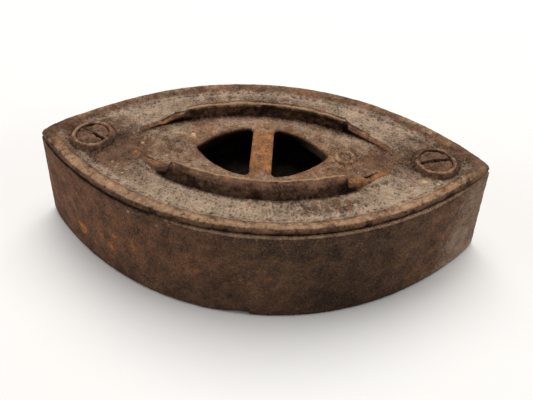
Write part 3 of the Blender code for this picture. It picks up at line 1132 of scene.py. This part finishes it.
    def _keep_masks(self, surface: Surface, start: Array, zones: dict[str, Array]) -> None:
        """Stores the masks.

        Args:
            surface: the worked surface.
            start: its points before they were worked.
            zones: the areas.
        """
        x, _, z = start.T
        side, land, sole, lip = (zones[name] for name in ("side", "land", "sole", "lip"))
        cloud = self.cloud_grain.fractal(start, 4)
        ragged = 1.0 + 0.9 * self.ragged_grain.fractal(start, 3)
        outline = self._outline(0.4 * SEAM)
        red = over_sides(self.red_rust, start, outline, self.red_stretch) * (1.0 + 0.6 * cloud)
        warm = 0.9 * ramp(over_sides(self.fresh_rust, start, outline) * ragged, 0.1, 0.95)
        crumbs = over_sides(self.crumbs, start, self._outline(SEAM))
        specks = 0.8 * self.speck_grain.spots(start, 0.3, 0.03, 0.06)
        along = along_side(start)
        open_lip = lip * ramp(along, *self.open_lip)
        # Painted shade low in the middle of the side, and a painted shadow patch towards the right.
        low_middle = ramp(np.abs(x - self.painted_shade_middle), 62.0 * MM, 18.0 * MM)
        low_middle *= ramp(z, 34.0 * MM, 3.0 * MM)
        shadow = ramp(np.abs(along - self.shadow_middle), 30.0 * MM, 6.0 * MM)
        # Inside the well and the windows: sooty blackening and painted shade. The land under the cap gets
        # painted shade.
        inside = 1.0 - np.maximum(np.maximum(side, land), sole)
        soot = (self.low_middle_painted_shade * low_middle + self.right_shadow * shadow) * side
        soot += self.land_painted_shade * land * (1.0 - open_lip) + self.inside_soot_and_painted_shade * inside
        low_edge = ramp(z, 7.0 * MM, 1.0 * MM) * ramp(along, -60.0 * MM, -20.0 * MM)
        # Lighter towards the ends of the sides: dust, and painted light where they turn towards the side
        # lamps.
        on_side = self.right_end_dust_and_painted_light * ramp(along, *self.right_end)
        on_side += self.left_end_dust_and_painted_light * ramp(along, *self.left_end)
        on_side += self.low_edge_dust * low_edge + self.cloudy_dust * ramp(cloud, 0.0, 0.7)
        surface.keep({
            Mask.HOLLOW: surface.hollow(self.hollow_rounds, self.hollow_depth) * (1.0 - land),
            Mask.RED: np.clip(red, 0.0, 1.0) * side,
            Mask.WARM: warm * side,
            Mask.DUST: self.lip_dust * open_lip + on_side * side,
            Mask.RUB: self.sole_rub * sole + self.lip_rub * open_lip,
            Mask.SOOT_AND_SHADE: soot,
            Mask.GRIT: np.clip(crumbs + specks, 0.0, 1.0) * side,
        })

    @staticmethod
    def finish() -> IronFinish:
        """Picks the body's rusted iron.

        Returns:
            The finish.
        """
        return IronFinish(
            name="rusted_body_iron",
            dark=(0.05, 0.03, 0.021),
            mid=(0.1, 0.056, 0.033),
            pale=(0.24, 0.132, 0.066),
            red=(0.185, 0.083, 0.045),
            fresh=(0.44, 0.15, 0.035),
            dust=(0.25, 0.175, 0.125),
            rubbed=(0.34, 0.21, 0.125),
            grit=(0.5, 0.36, 0.22),
            patch_size=0.007,
            bloom_share=0.3,
            bloom_spacing=0.0026,
            bloom_strength=0.5,
            contrast=0.56,
            relief=0.00022,
        )


# How strong each kind of relief (in millimetres), the dust and the red rust are on each area of the cap.
CAP_LUMPS = {"field": 0.10, "rail": 0.3, "rim": 0.07, "seat": 0.07, "ring": 0.2, "mark": 0.22}
CAP_SAND = {"field": 0.19, "rail": 0.22, "rim": 0.1, "seat": 0.09, "ring": 0.16}
CAP_PITS = {"field": 0.30, "rail": 0.18, "rim": 0.07, "seat": 0.12}
CAP_DUST = {"field": 0.62, "seat": 0.5, "rim": 0.22, "rail": 0.14, "ring": 0.2}
CAP_RED = {"rail": 0.6, "ring": 0.5}


@dataclass
class TopCap:
    """The cover casting, with its rim, rails, screw rings, windows and latch bar."""

    grid: float = 0.42 * MM
    most: int = 196_000
    rim_width: float = 5.7 * MM
    rim_shift: float = 0.5 * MM
    seat_half_length: float = 51.0 * MM
    seat_half_width: float = 20.5 * MM
    rail_thickness: float = 4.9 * MM
    rail_reach: float = 45.0 * MM
    rail_step: float = 28.0 * MM
    ridge_inset: float = 1.3 * MM
    end_fall: float = 1.9 * MM
    end_taper: float = 1.7 * MM
    end_narrowing: float = 0.62
    ring_x: float = 60.4 * MM
    ring_radius: float = 8.3 * MM
    bar_half_width: float = 4.0 * MM
    bar_half_length: float = 13.4 * MM
    bar_turn: float = math.radians(2.3)
    mark_x: float = 29.3 * MM
    mark_radius: float = 3.0 * MM
    stroke_inset: float = 10.8 * MM
    stroke_pitch: float = 3.6 * MM
    stroke_count: int = 18
    stroke_half_width: float = 0.7 * MM
    stroke_half_length: float = 3.4 * MM
    stroke_lift: float = 0.55 * MM
    stroke_fan: float = 110 * MM
    stroke_leans: tuple[float, ...] = (0.0, 0.22, -0.1)
    stroke_lengths: tuple[float, ...] = (1.0, 0.7, 0.9, 0.6)
    crumb_lift: float = 0.45 * MM
    hollow_rounds: int = 10
    hollow_depth: float = 0.2 * MM
    # Where along the side or the cap something starts and where it is full.
    ledge_start: tuple[float, float] = (-52.0 * MM, 12.0 * MM)
    ledge_end: tuple[float, float] = (74.0 * MM, 66.0 * MM)
    # Where the painted shade inside the windows eases off, towards the wall that the light reaches.
    lit_wall: tuple[float, float] = (12.0 * MM, 20.0 * MM)
    # How high or deep each kind of relief is.
    swell: float = 0.12 * MM
    clot_lift: float = 0.16 * MM
    flake_lift: float = 0.2 * MM
    end_eaten: float = 0.7 * MM
    stir: float = 0.35 * MM
    # Noise fields, each with its size and seed.
    stir_grains: tuple[Grain, ...] = (Grain(0.0007, 22), Grain(0.0007, 23), Grain(0.0007, 25))
    grit_grain: Grain = Grain(0.0036, 21)
    eaten_grain: Grain = Grain(0.0048, 24)
    swell_grain: Grain = Grain(0.018, 31)
    lump_grain: Grain = Grain(0.0034, 32)
    sand_grain: Grain = Grain(0.0012, 33)
    clot_grain: Grain = Grain(0.0017, 34)
    pit_grain: Grain = Grain(0.0016, 35)
    flake_grain: Grain = Grain(0.0032, 36)
    stroke_grain: Grain = Grain(0.0022, 37)
    cloud_grain: Grain = Grain(0.009, 41)
    ragged_grain: Grain = Grain(0.0016, 42)
    blotch_grain: Grain = Grain(0.006, 43)
    stain_grain: Grain = Grain(0.0036, 44)
    end_rust: tuple[Patch, ...] = patches(
        (37.0, -12.0, 9.0, 1.0),
        (-36.0, 13.0, 9.0, 0.9),
        (-36.0, -12.0, 9.0, 0.6),
        (37.0, 12.0, 9.0, 0.5),
    )
    dusty: tuple[Patch, ...] = patches(
        (-24.0, -24.0, 13.0, 0.3),
        (4.0, -31.0, 15.0, 0.3),
        (-42.0, 17.0, 13.0, 0.42),
        (46.0, -17.0, 11.0, 0.4),
        (36.0, 19.0, 13.0, 0.55),
        (8.0, -28.0, 20.0, 0.1),
        (-12.0, 15.0, 9.0, 0.25),
        (12.0, 16.0, 9.0, 0.25),
        (-33.0, 1.0, 8.0, 0.15),
    )
    bare: tuple[Patch, ...] = patches(
        (-58.0, 0.0, 15.0, 0.4),
        (64.0, 4.0, 13.0, 0.42),
        (-73.0, 4.0, 6.0, 0.35),
        (42.0, -2.0, 10.0, 0.32),
        (-48.0, -4.0, 9.0, 0.25),
    )
    crumbs: tuple[Patch, ...] = patches(
        (-74.6, -5.6, 0.8, 0.55),
        (-25.6, 6.4, 0.6, 1.0),
        (-25.0, 5.4, 0.35, 1.0),
        (-17.3, 15.9, 0.45, 0.9),
        (-16.6, 16.6, 0.35, 0.8),
        (-42.4, -0.7, 0.45, 1.0),
        (-45.5, -17.8, 0.35, 0.8),
        (-50.0, -12.5, 0.35, 0.7),
        (32.6, -23.8, 0.35, 1.0),
        (56.0, -9.8, 0.5, 1.0),
        (60.6, -10.3, 0.4, 0.7),
    )

    def build(self, effects: Effects) -> bpy.types.Object:
        """Works and dresses the casting.

        Args:
            effects: the shared effects.

        Returns:
            The finished piece.
        """
        surface = Surface(Node.CAP, self.grid)
        surface.relax(1)
        start = surface.points.copy()
        zones = self._zones(start, surface.normals())
        self._wear_rails(surface, zones)
        self._settle_rim(surface, zones)
        stirred = start + self.stir * np.stack([grain.smooth(start) for grain in self.stir_grains], axis=1)
        crumbs = np.clip(over_top(self.crumbs, stirred) * ramp(zones["up"], 0.6, 0.9), 0.0, 1.0)
        grit = self.grit_grain.spots(stirred, 0.1, 0.05, 0.12) * zones["top"] * (1.0 - zones["rim"])
        crumb_relief = self.crumb_lift * np.maximum(crumbs, 0.6 * grit)
        surface.push(self._weathering(start, zones) + crumb_relief)
        surface.keep({
            Mask.HOLLOW: surface.hollow(self.hollow_rounds, self.hollow_depth),
            Mask.GRIT: np.maximum(crumbs, grit) * 1.4,
            **self._stains(start, zones),
        })
        material = self.finish().material(effects)
        return surface.piece("rusted_top_cap", material, self.most)

    def _plan(self) -> PointedOval:
        """Works out the cap's outline from above."""
        low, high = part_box(Node.CAP.value)
        return PointedOval((high.x - low.x) / 2, (high.y - low.y) / 2)

    def _zones(self, points: Array, normals: Array) -> dict[str, Array]:
        """Splits the cap into its areas.

        Args:
            points: places in metres.
            normals: outward normals.

        Returns:
            For each area's name, the share of each point that belongs to it, and by name too, how far in
            from the cap's edge and from the seat's edge it lies, how high it is and how far it faces up.
        """
        x, y, z = points.T
        height = z - SEAM
        inset = self._plan().inside(points)
        seat_in = PointedOval(self.seat_half_length, self.seat_half_width, 2.0, 1.0).inside(points)
        top = ramp(height, 0.0, 0.3 * MM) * ramp(normals[:, 2], -0.5, 0.0)
        rim = top * ramp(inset, self.rim_width + 0.3 * MM, self.rim_width - 1.2 * MM)
        seat = top * ramp(seat_in, 0.2 * MM, 0.9 * MM)
        reach = ramp(np.abs(x), self.rail_reach + 0.5 * MM, self.rail_reach - 1.5 * MM)
        wide = top * reach * ramp(seat_in, 0.6 * MM, 0.1 * MM)
        wide = wide * ramp(seat_in, -self.rail_thickness - 0.5 * MM, -self.rail_thickness + 0.3 * MM)
        narrowing = self.end_narrowing * ramp(np.abs(x), self.rail_step + 2 * MM, self.rail_reach - 2 * MM)
        kept = self.rail_thickness * (1.0 - narrowing)
        rail = wide * ramp(seat_in, -kept - 0.5 * MM, -kept + 0.3 * MM)
        away = np.hypot(np.abs(x) - self.ring_x, y)
        ring = top * ramp(away, self.ring_radius + 0.4 * MM, self.ring_radius - 0.4 * MM)
        rim, rail, seat = rim * (1.0 - ring), rail * (1.0 - ring), seat * (1.0 - ring)
        off_bar = np.abs(x * math.cos(self.bar_turn) + y * math.sin(self.bar_turn))
        bar = top * ramp(off_bar, self.bar_half_width + 0.6 * MM, self.bar_half_width - 0.3 * MM)
        bar = bar * ramp(np.abs(y), self.bar_half_length + 3 * MM, self.bar_half_length - 1 * MM)
        plain = np.clip(top - rim - rail - seat - ring, 0.0, 1.0)
        past_step = ramp(np.abs(x), self.rail_step - 1 * MM, self.rail_step + 3 * MM)
        off_mark = np.hypot(np.abs(x) - self.mark_x, y)
        mark = seat * ramp(np.abs(off_mark - self.mark_radius), 1.0 * MM, 0.4 * MM)
        eye = seat * ramp(off_mark, 2.0 * MM, 1.2 * MM)
        return {
            "top": top, "rim": rim, "seat": seat, "rail": rail, "ring": ring, "bar": bar, "field": plain,
            "low_end": rail * past_step, "end_wear": wide * (1.0 - ring) * past_step, "mark": mark,
            "mark_eye": eye, "inset": inset, "seat_in": seat_in,
            "height": height, "up": normals[:, 2],
        }

    def _wear_rails(self, surface: Surface, zones: dict[str, Array]) -> None:
        """Rounds the rails' steps and wears their low ends away unevenly.

        Args:
            surface: the surface to work.
            zones: the areas.
        """
        x = surface.points[:, 0]
        near_step = ramp(np.abs(x), self.rail_step - 4 * MM, self.rail_step - 1 * MM)
        softened = surface.averaged(surface.points, 9)
        share = zones["rail"] * near_step * ramp(zones["height"], 1.5 * MM, 2.5 * MM)
        surface.points += (softened - surface.points) * share[:, None]
        eaten = ramp(self.eaten_grain.fractal(surface.points, 3), -0.25, 0.5)
        rise = ramp(zones["height"], 1.6 * MM, 3.0 * MM)
        off_ridge = np.abs(zones["seat_in"] + self.ridge_inset) / self.rail_thickness
        fallen = 0.35 + 0.65 * ramp(np.abs(x), self.rail_step, self.rail_reach)
        lost = self.end_eaten * eaten + self.end_fall * np.clip(off_ridge, 0.0, 1.0) * fallen
        lost += self.end_taper * ramp(np.abs(x), self.rail_reach - 11 * MM, self.rail_reach - 1 * MM)
        lost = np.minimum(lost, np.maximum(zones["height"] - 1.4 * MM, 0.0))
        surface.points[:, 2] -= lost * zones["end_wear"] * rise

    def _settle_rim(self, surface: Surface, zones: dict[str, Array]) -> None:
        """Moves the rim's outer face out towards one end and in towards the other: the cap sits unevenly.

        Args:
            surface: the surface to work.
            zones: the areas.
        """
        x, y, _ = surface.points.T
        along = along_side(surface.points)
        ledge = ramp(along, *self.ledge_start) * ramp(along, *self.ledge_end)
        flush = 0.8 - 1.5 * ledge
        outer = ramp(zones["inset"], 3.4 * MM, 0.4 * MM) * ramp(zones["height"], -0.2 * MM, 0.2 * MM)
        away = np.stack([0.35 * x / (np.abs(x) + 20 * MM), np.sign(y)], axis=1)
        surface.points[:, :2] += away * (self.rim_shift * flush * outer)[:, None]

    def _weathering(self, points: Array, zones: dict[str, Array]) -> Array:
        """How far the mould, wear and rust moved each point out along its normal.

        Args:
            points: places in metres.
            zones: the areas.

        Returns:
            One depth for each point.
        """
        swell = self.swell_grain.fractal(points, 3) * self.swell
        lumps = self.lump_grain.fractal(points, 3)
        sand = self.sand_grain.fractal(points, 2)
        pits = self.pit_grain.spots(points, 0.4, 0.2, 0.45)
        clots = ramp(self.clot_grain.fractal(points, 2), 0.1, 0.55) * self.clot_lift
        flakes = ramp(self.flake_grain.fractal(points, 3), -0.05, 0.12) * self.flake_lift
        moved = blended(zones, CAP_LUMPS) * lumps + blended(zones, CAP_SAND) * sand
        moved = (moved - blended(zones, CAP_PITS) * pits) * MM + swell * zones["top"]
        strokes = self.stroke_lift * self._strokes(points)
        return moved + (clots + strokes) * zones["field"] + flakes * zones["rail"]

    def _strokes(self, points: Array) -> Array:
        """A row of plain cast strokes on the front field, nearly worn away towards the left.

        Args:
            points: places in metres.

        Returns:
            How much of a stroke's full height each point has.
        """
        x, y, _ = points.T
        plan = self._plan()
        total = np.zeros(len(points))
        for index in range(self.stroke_count):
            middle_x = (index - (self.stroke_count - 1) / 2) * self.stroke_pitch
            middle_y = self.stroke_inset - float(plan.half_width_at(np.array(middle_x)))
            lean = middle_x / self.stroke_fan + self.stroke_leans[index % len(self.stroke_leans)]
            along = (y - middle_y) * math.cos(lean) - (x - middle_x) * math.sin(lean)
            across = (x - middle_x) * math.cos(lean) + (y - middle_y) * math.sin(lean)
            left = 0.25 + 0.75 * float(ramp(np.array(middle_x), -2 * MM, 8 * MM))
            half_length = self.stroke_half_length * self.stroke_lengths[index % len(self.stroke_lengths)]
            half_width = self.stroke_half_width
            long = ramp(np.abs(along), half_length + 0.4 * MM, half_length - 0.4 * MM)
            wide = ramp(np.abs(across), half_width + 0.5 * MM, half_width - 0.4 * MM)
            total = np.maximum(total, left * long * wide)
        return total * (0.35 + 0.75 * ramp(self.stroke_grain.fractal(points, 3), -0.45, 0.35))

    def _stains(self, points: Array, zones: dict[str, Array]) -> dict[Mask, Array]:
        """Works out where dust, fresh rust, rubbed metal, sooty blackening, painted shade and red rust lie.

        Args:
            points: places in metres, before they were worked.
            zones: the areas.

        Returns:
            The masks.
        """
        x, y, _ = points.T
        rim, rail, seat, field, ring = (zones[name] for name in ("rim", "rail", "seat", "field", "ring"))
        inset, seat_in, height, up = (zones[name] for name in ("inset", "seat_in", "height", "up"))
        cloud = self.cloud_grain.fractal(points, 4)
        ragged = self.ragged_grain.fractal(points, 3)
        blotch = self.blotch_grain.fractal(points, 5)
        stain = self.stain_grain.fractal(points, 5)
        strokes = self._strokes(points) * field
        low_top = zones["low_end"] * ramp(up, 0.2, 0.7)
        crest = ramp(inset, 0.3 * MM, 1.2 * MM) * ramp(inset, 5.6 * MM, 2.8 * MM)
        crest = crest * (1.0 - 0.6 * ramp(np.abs(x), 64.0 * MM, 74.0 * MM)) * rim
        on_bar = zones["bar"] * ramp(np.abs(y), self.bar_half_length, 0.4 * self.bar_half_length)

        corner = ramp(inset, 3.2 * MM, 4.8 * MM) * ramp(inset, 8.5 * MM, 6.0 * MM)
        spread = over_top(self.dusty, points) - over_top(self.bare, points) + 0.12 * cloud
        dust = blended(zones, CAP_DUST) + 0.16 * blotch * rim + 0.32 * corner * (rim + field)
        dust += spread * (field + 0.7 * seat + 0.4 * rim) - 0.4 * strokes - 0.4 * on_bar

        ridge = np.where((x > 0) & (y < 0), 1.0, ramp(seat_in, -2.9 * MM, -1.7 * MM))
        warm = low_top * ridge * np.clip(over_top(self.end_rust, points), 0.0, 1.0)
        warm *= ramp(ragged + 0.8 * cloud, -0.7, 0.5)
        warm += zones["bar"] * (0.3 + 0.5 * cloud + 0.5 * blotch + 0.4 * ragged) + on_bar * 0.35
        warm += 0.42 * crest * ramp(cloud + 0.5 * stain, -0.2, 0.7)
        warm += 0.6 * rail * ramp(ragged, 0.0, 0.5) * ramp(stain, -0.4, 0.3)
        warm += 0.8 * strokes * ramp(ragged, 0.0, 0.5) + 0.5 * seat * ramp(np.abs(x), 54 * MM, 16 * MM)

        front = ramp(y, 6.0 * MM, -6.0 * MM)
        rub = (0.42 + 0.32 * front) * crest * (0.85 + 0.35 * blotch - 0.25 * ragged)
        rub += rail * ramp(seat_in, -1.3 * MM, -0.5 * MM) * ramp(height, 5.0 * MM, 5.6 * MM)
        rub += 0.4 * ring * ramp(height, 2.3 * MM, 2.9 * MM) * ramp(ragged + blotch, -0.7, 0.4)
        # The cast marks' rubbed crests: wear, and a painted highlight.
        rub += np.where(x > 0.0, 0.8, 0.35) * zones["mark"] * ramp(ragged, -0.35, 0.45)

        # Painted shade on the walls below the seam inside the windows, lighter on the lit wall towards the
        # right.
        soot = (0.95 - 0.5 * ramp(x, *self.lit_wall)) * ramp(height, 0.4 * MM, -0.8 * MM)
        # Painted shade on the rim's low outer face, broken up by sooty stains.
        shaded = ramp(height, 2.3 * MM, 0.7 * MM) * ramp(inset, 2.1 * MM, 0.6 * MM)
        # Painted shadow on the outer and inner slopes of the rails' low ends.
        outer_slope = 0.45 * ramp(seat_in, -1.8 * MM, -3.2 * MM)
        inner_slope = 0.6 * ramp(seat_in, -0.9 * MM, -0.3 * MM) * ramp(up, 0.8, 0.4)
        soot += shaded * (0.5 + 0.6 * stain) + 0.1 * rail + (outer_slope + inner_slope) * zones["low_end"]
        # Painted shade on the rails' steep faces, mottled with sooty patches.
        faces = rail * ramp(up, 0.93, 0.55)
        # Painted shade in the middle of each cast mark.
        soot += faces * np.clip(0.34 + 0.4 * blotch + 0.75 * ragged, 0.0, 0.65) + 0.3 * zones["mark_eye"]
        # Sooty patches on the rim, made stronger on its outer face by painted shade.
        outer = ramp(inset, 3.0 * MM, 1.2 * MM)
        soot += (0.12 + 0.38 * outer) * rim * ramp(stain + 0.9 * ragged, 0.0, 0.7)

        red = blended(zones, CAP_RED) * ramp(blotch, -0.2, 0.4) + 0.5 * rim * ramp(-blotch, -0.2, 0.6)
        return {
            Mask.DUST: np.clip(dust, 0.0, 1.0) * (1.0 - low_top),
            Mask.WARM: warm,
            Mask.RUB: rub,
            Mask.SOOT_AND_SHADE: soot,
            Mask.RED: red,
        }

    @staticmethod
    def finish() -> IronFinish:
        """Picks the cap's dusty rusted iron.

        Returns:
            The finish.
        """
        return IronFinish(
            name="dusty_cap_iron",
            dark=(0.066, 0.036, 0.023),
            mid=(0.135, 0.074, 0.045),
            pale=(0.21, 0.128, 0.08),
            red=(0.2, 0.095, 0.052),
            fresh=(0.32, 0.135, 0.052),
            dust=(0.355, 0.26, 0.182),
            rubbed=(0.36, 0.218, 0.125),
            contrast=0.36,
            relief=0.0003,
            pore_share=0.42,
            pore_shade=0.66,
        )


@dataclass
class InsulatingFill:
    """The bed of plaster under the latch bar."""

    grid: float = 0.9 * MM
    most: int = 60_000
    lump: float = 0.35 * MM
    lump_grain: Grain = Grain(0.006, 51)
    pocket_half_length: float = 41.0 * MM
    pocket_half_width: float = 22.0 * MM

    def build(self, effects: Effects) -> bpy.types.Object:
        """Works and dresses the plaster.

        Args:
            effects: the shared effects.

        Returns:
            The finished piece.
        """
        surface = Surface(Node.FILL, self.grid)
        surface.relax(2)
        start = surface.points.copy()
        away = np.hypot(start[:, 0] / self.pocket_half_length, start[:, 1] / self.pocket_half_width)
        pocket = ramp(away, 1.05, 0.85)
        surface.push((self.lump_grain.fractal(start, 4) * self.lump - self.lump) * pocket)
        # The plaster's near-black colour is partly painted shade.
        material = PlasterFinish().material(effects)
        return surface.piece("plaster_bed_soot_and_painted_shade", material, self.most)


@dataclass
class CapScrew:
    """A rusted slotted screw, crusted round its head."""

    node: Node
    name: str
    slot_turn: float
    clogged: float
    seed: int
    grid: float = 0.2 * MM
    most: int = 60_000
    head_depth: float = 2.4 * MM
    head_radius: float = 5.5 * MM
    head_growth: float = 0.4 * MM
    head_lift: float = 0.35 * MM
    dome: float = 0.35 * MM
    slot_half_width: float = 0.75 * MM
    slot_depth: float = 1.3 * MM
    hollow_rounds: int = 12
    hollow_depth: float = 0.12 * MM
    crust_lift: float = 0.4 * MM
    sand_lift: float = 0.18 * MM
    peak_lift: float = 0.35 * MM

    def build(self, effects: Effects) -> bpy.types.Object:
        """Works and dresses the screw.

        Args:
            effects: the shared effects.

        Returns:
            The finished piece.
        """
        surface = Surface(self.node, self.grid)
        surface.relax(3)
        low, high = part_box(self.node.value)
        middle = (low + high) / 2
        start = surface.points.copy()
        x, y, z = start[:, 0] - middle.x, start[:, 1] - middle.y, start[:, 2] - high.z
        away = np.hypot(x, y) / self.head_radius
        head = ramp(z, -self.head_depth, -self.head_depth + 0.6 * MM)
        across = -x * math.sin(self.slot_turn) + y * math.cos(self.slot_turn)
        along = x * math.cos(self.slot_turn) + y * math.sin(self.slot_turn)
        crust = Grain(0.0024, self.seed).fractal(start, 3)
        sand = Grain(0.0009, self.seed + 1).fractal(start, 2)
        in_slot = ramp(np.abs(across), self.slot_half_width, 0.6 * self.slot_half_width) * head
        in_slot *= ramp(z, -0.5 * self.slot_depth, -0.8 * self.slot_depth)
        packed = self.clogged * ramp(along + 0.6 * MM * crust, 3.4 * MM, 2.2 * MM)
        packed *= ramp(along, 0.2 * MM, -0.6 * MM) + ramp(along, 2.6 * MM, 3.4 * MM)
        peaks = ramp(Grain(0.0017, self.seed + 2).fractal(start, 3), 0.0, 0.7)
        relief = self.crust_lift * crust + self.sand_lift * sand + self.peak_lift * peaks
        surface.push(relief * head * (1.0 - 0.6 * in_slot))
        lifted = self.head_lift + self.dome * ramp(away, 1.0, 0.1)
        surface.points[:, 2] += lifted * head + in_slot * packed * 0.9 * self.slot_depth
        outward = np.stack([x, y], axis=1) / self.head_radius
        surface.points[:, :2] += outward * (self.head_growth * head * ramp(away, 0.6, 0.95))[:, None]
        open_slot = in_slot * (1.0 - packed)
        surface.keep({
            Mask.HOLLOW: surface.hollow(self.hollow_rounds, self.hollow_depth),
            Mask.DUST: np.clip(0.32 + 0.4 * crust, 0.0, 1.0) * head,
            Mask.WARM: 0.35 * ramp(crust, 0.1, 0.6) * head,
            Mask.RUB: 0.35 * ramp(crust, -0.1, 0.5) * head,
            # Painted shade in the open slot and on the shank under the head.
            Mask.SOOT_AND_SHADE: 0.8 * open_slot + 0.8 * (1.0 - head),
            Mask.GRIT: np.zeros(len(start)),
            Mask.RED: 0.3 * head,
        })
        return surface.piece(self.name, self.finish().material(effects), self.most)

    @staticmethod
    def finish() -> IronFinish:
        """Picks the screws' rusted steel.

        Returns:
            The finish.
        """
        return IronFinish(
            name="rusted_screw_steel",
            dark=(0.055, 0.032, 0.022),
            mid=(0.15, 0.086, 0.056),
            pale=(0.26, 0.16, 0.105),
            red=(0.18, 0.078, 0.044),
            fresh=(0.3, 0.13, 0.05),
            dust=(0.28, 0.19, 0.13),
            rubbed=(0.22, 0.135, 0.09),
            patch_size=0.004,
            relief=0.0002,
        )


# ---- studio -------------------------------------------------------------------------------------------
@dataclass(frozen=True)
class Softbox:
    """A square soft light that faces a point over the iron."""

    name: str
    place: tuple[float, float, float]
    side: float
    power: float
    colour: Colour = (1.0, 0.98, 0.95)

    def light(self, aim: Vector) -> None:
        """Hangs the light.

        Args:
            aim: the point that it faces.
        """
        lamp = bpy.data.lights.new(self.name, "AREA")
        lamp.size = self.side
        lamp.energy = self.power
        lamp.color = self.colour
        made = bpy.data.objects.new(self.name, lamp)
        made.location = self.place
        made.rotation_mode = "QUATERNION"
        made.rotation_quaternion = (aim - Vector(self.place)).to_track_quat("-Z", "Y")
        bpy.context.scene.collection.objects.link(made)


@dataclass
class Studio:
    """A pale floor, soft lights and the camera."""

    floor_radius: float = 1.6
    floor_sides: int = 128
    floor_colour: Colour = (0.78, 0.775, 0.77)
    floor_roughness: float = 0.9
    floor_shine: float = 0.1
    sky: Colour = (0.96, 0.97, 0.98)
    sky_strength: float = 0.13
    wall_strength: float = 0.88
    aim: tuple[float, float, float] = (0.0039, -0.0239, 0.0369)
    azimuth: float = 3.9
    elevation: float = 44.2
    roll: float = 2.1
    distance: float = 0.2
    lens: float = 41.6
    nearest: float = 0.01
    softboxes: tuple[Softbox, ...] = (
        Softbox("overhead", (0.0, 0.75, 2.0), 1.9, 60.0),
        Softbox("left", (-1.7, -0.35, 0.55), 1.1, 12.0),
        Softbox("right", (1.7, -0.35, 0.55), 1.1, 12.0),
    )

    def build(self) -> None:
        """Lays the floor and sets the lights, the surroundings and the camera."""
        self._floor()
        for softbox in self.softboxes:
            softbox.light(Vector((0.0, 0.0, SEAM)))
        world = bpy.data.worlds.new("studio_air")
        world.use_nodes = True
        air = world.node_tree.nodes["Background"]
        air.inputs["Color"].default_value = (*self.sky, 1.0)
        graph = Graph(world.node_tree)
        seen = graph.add("ShaderNodeLightPath").outputs["Is Camera Ray"]
        graph.put(graph.step(seen, 0.0, 1.0, self.sky_strength, self.wall_strength), air.inputs["Strength"])
        bpy.context.scene.world = world
        bpy.context.scene.view_settings.view_transform = "Standard"
        self._camera()

    def _floor(self) -> None:
        """Lays the pale floor just under the sole."""
        bpy.ops.mesh.primitive_circle_add(
            vertices=self.floor_sides, radius=self.floor_radius, fill_type="NGON"
        )
        floor = bpy.context.object
        floor.name = "studio_floor"
        material, graph, shader = blank_material("pale_floor", self.floor_roughness, self.floor_shine)
        graph.put(self.floor_colour, shader.inputs["Base Color"])
        floor.data.materials.append(material)

    def _camera(self) -> None:
        """Places the camera in front of the iron and above it, a little to the right and a bit rolled."""
        turn, rise = math.radians(self.azimuth), math.radians(self.elevation)
        back = Vector((math.sin(turn) * math.cos(rise), -math.cos(turn) * math.cos(rise), math.sin(rise)))
        lens = bpy.data.cameras.new("camera")
        lens.lens = self.lens
        lens.clip_start = self.nearest
        camera = bpy.data.objects.new("camera", lens)
        camera.location = Vector(self.aim) + back * self.distance
        camera.rotation_mode = "QUATERNION"
        level = (-back).to_track_quat("-Z", "Y")
        camera.rotation_quaternion = level @ Quaternion((0.0, 0.0, 1.0), math.radians(self.roll))
        bpy.context.scene.collection.objects.link(camera)
        bpy.context.scene.camera = camera


def main() -> None:
    """Builds and dresses every piece, then the studio."""
    logging.basicConfig(level=logging.INFO, format="%(name)s: %(message)s")
    effects = Effects()
    SoleBody().build(effects)
    TopCap().build(effects)
    InsulatingFill().build(effects)
    CapScrew(Node.LEFT_SCREW, "rusted_left_cap_screw", math.radians(-26), 0.9, 61).build(effects)
    CapScrew(Node.RIGHT_SCREW, "rusted_right_cap_screw", math.radians(18), 0.15, 71).build(effects)
    Studio().build()


if __name__ == "__main__":
    main()
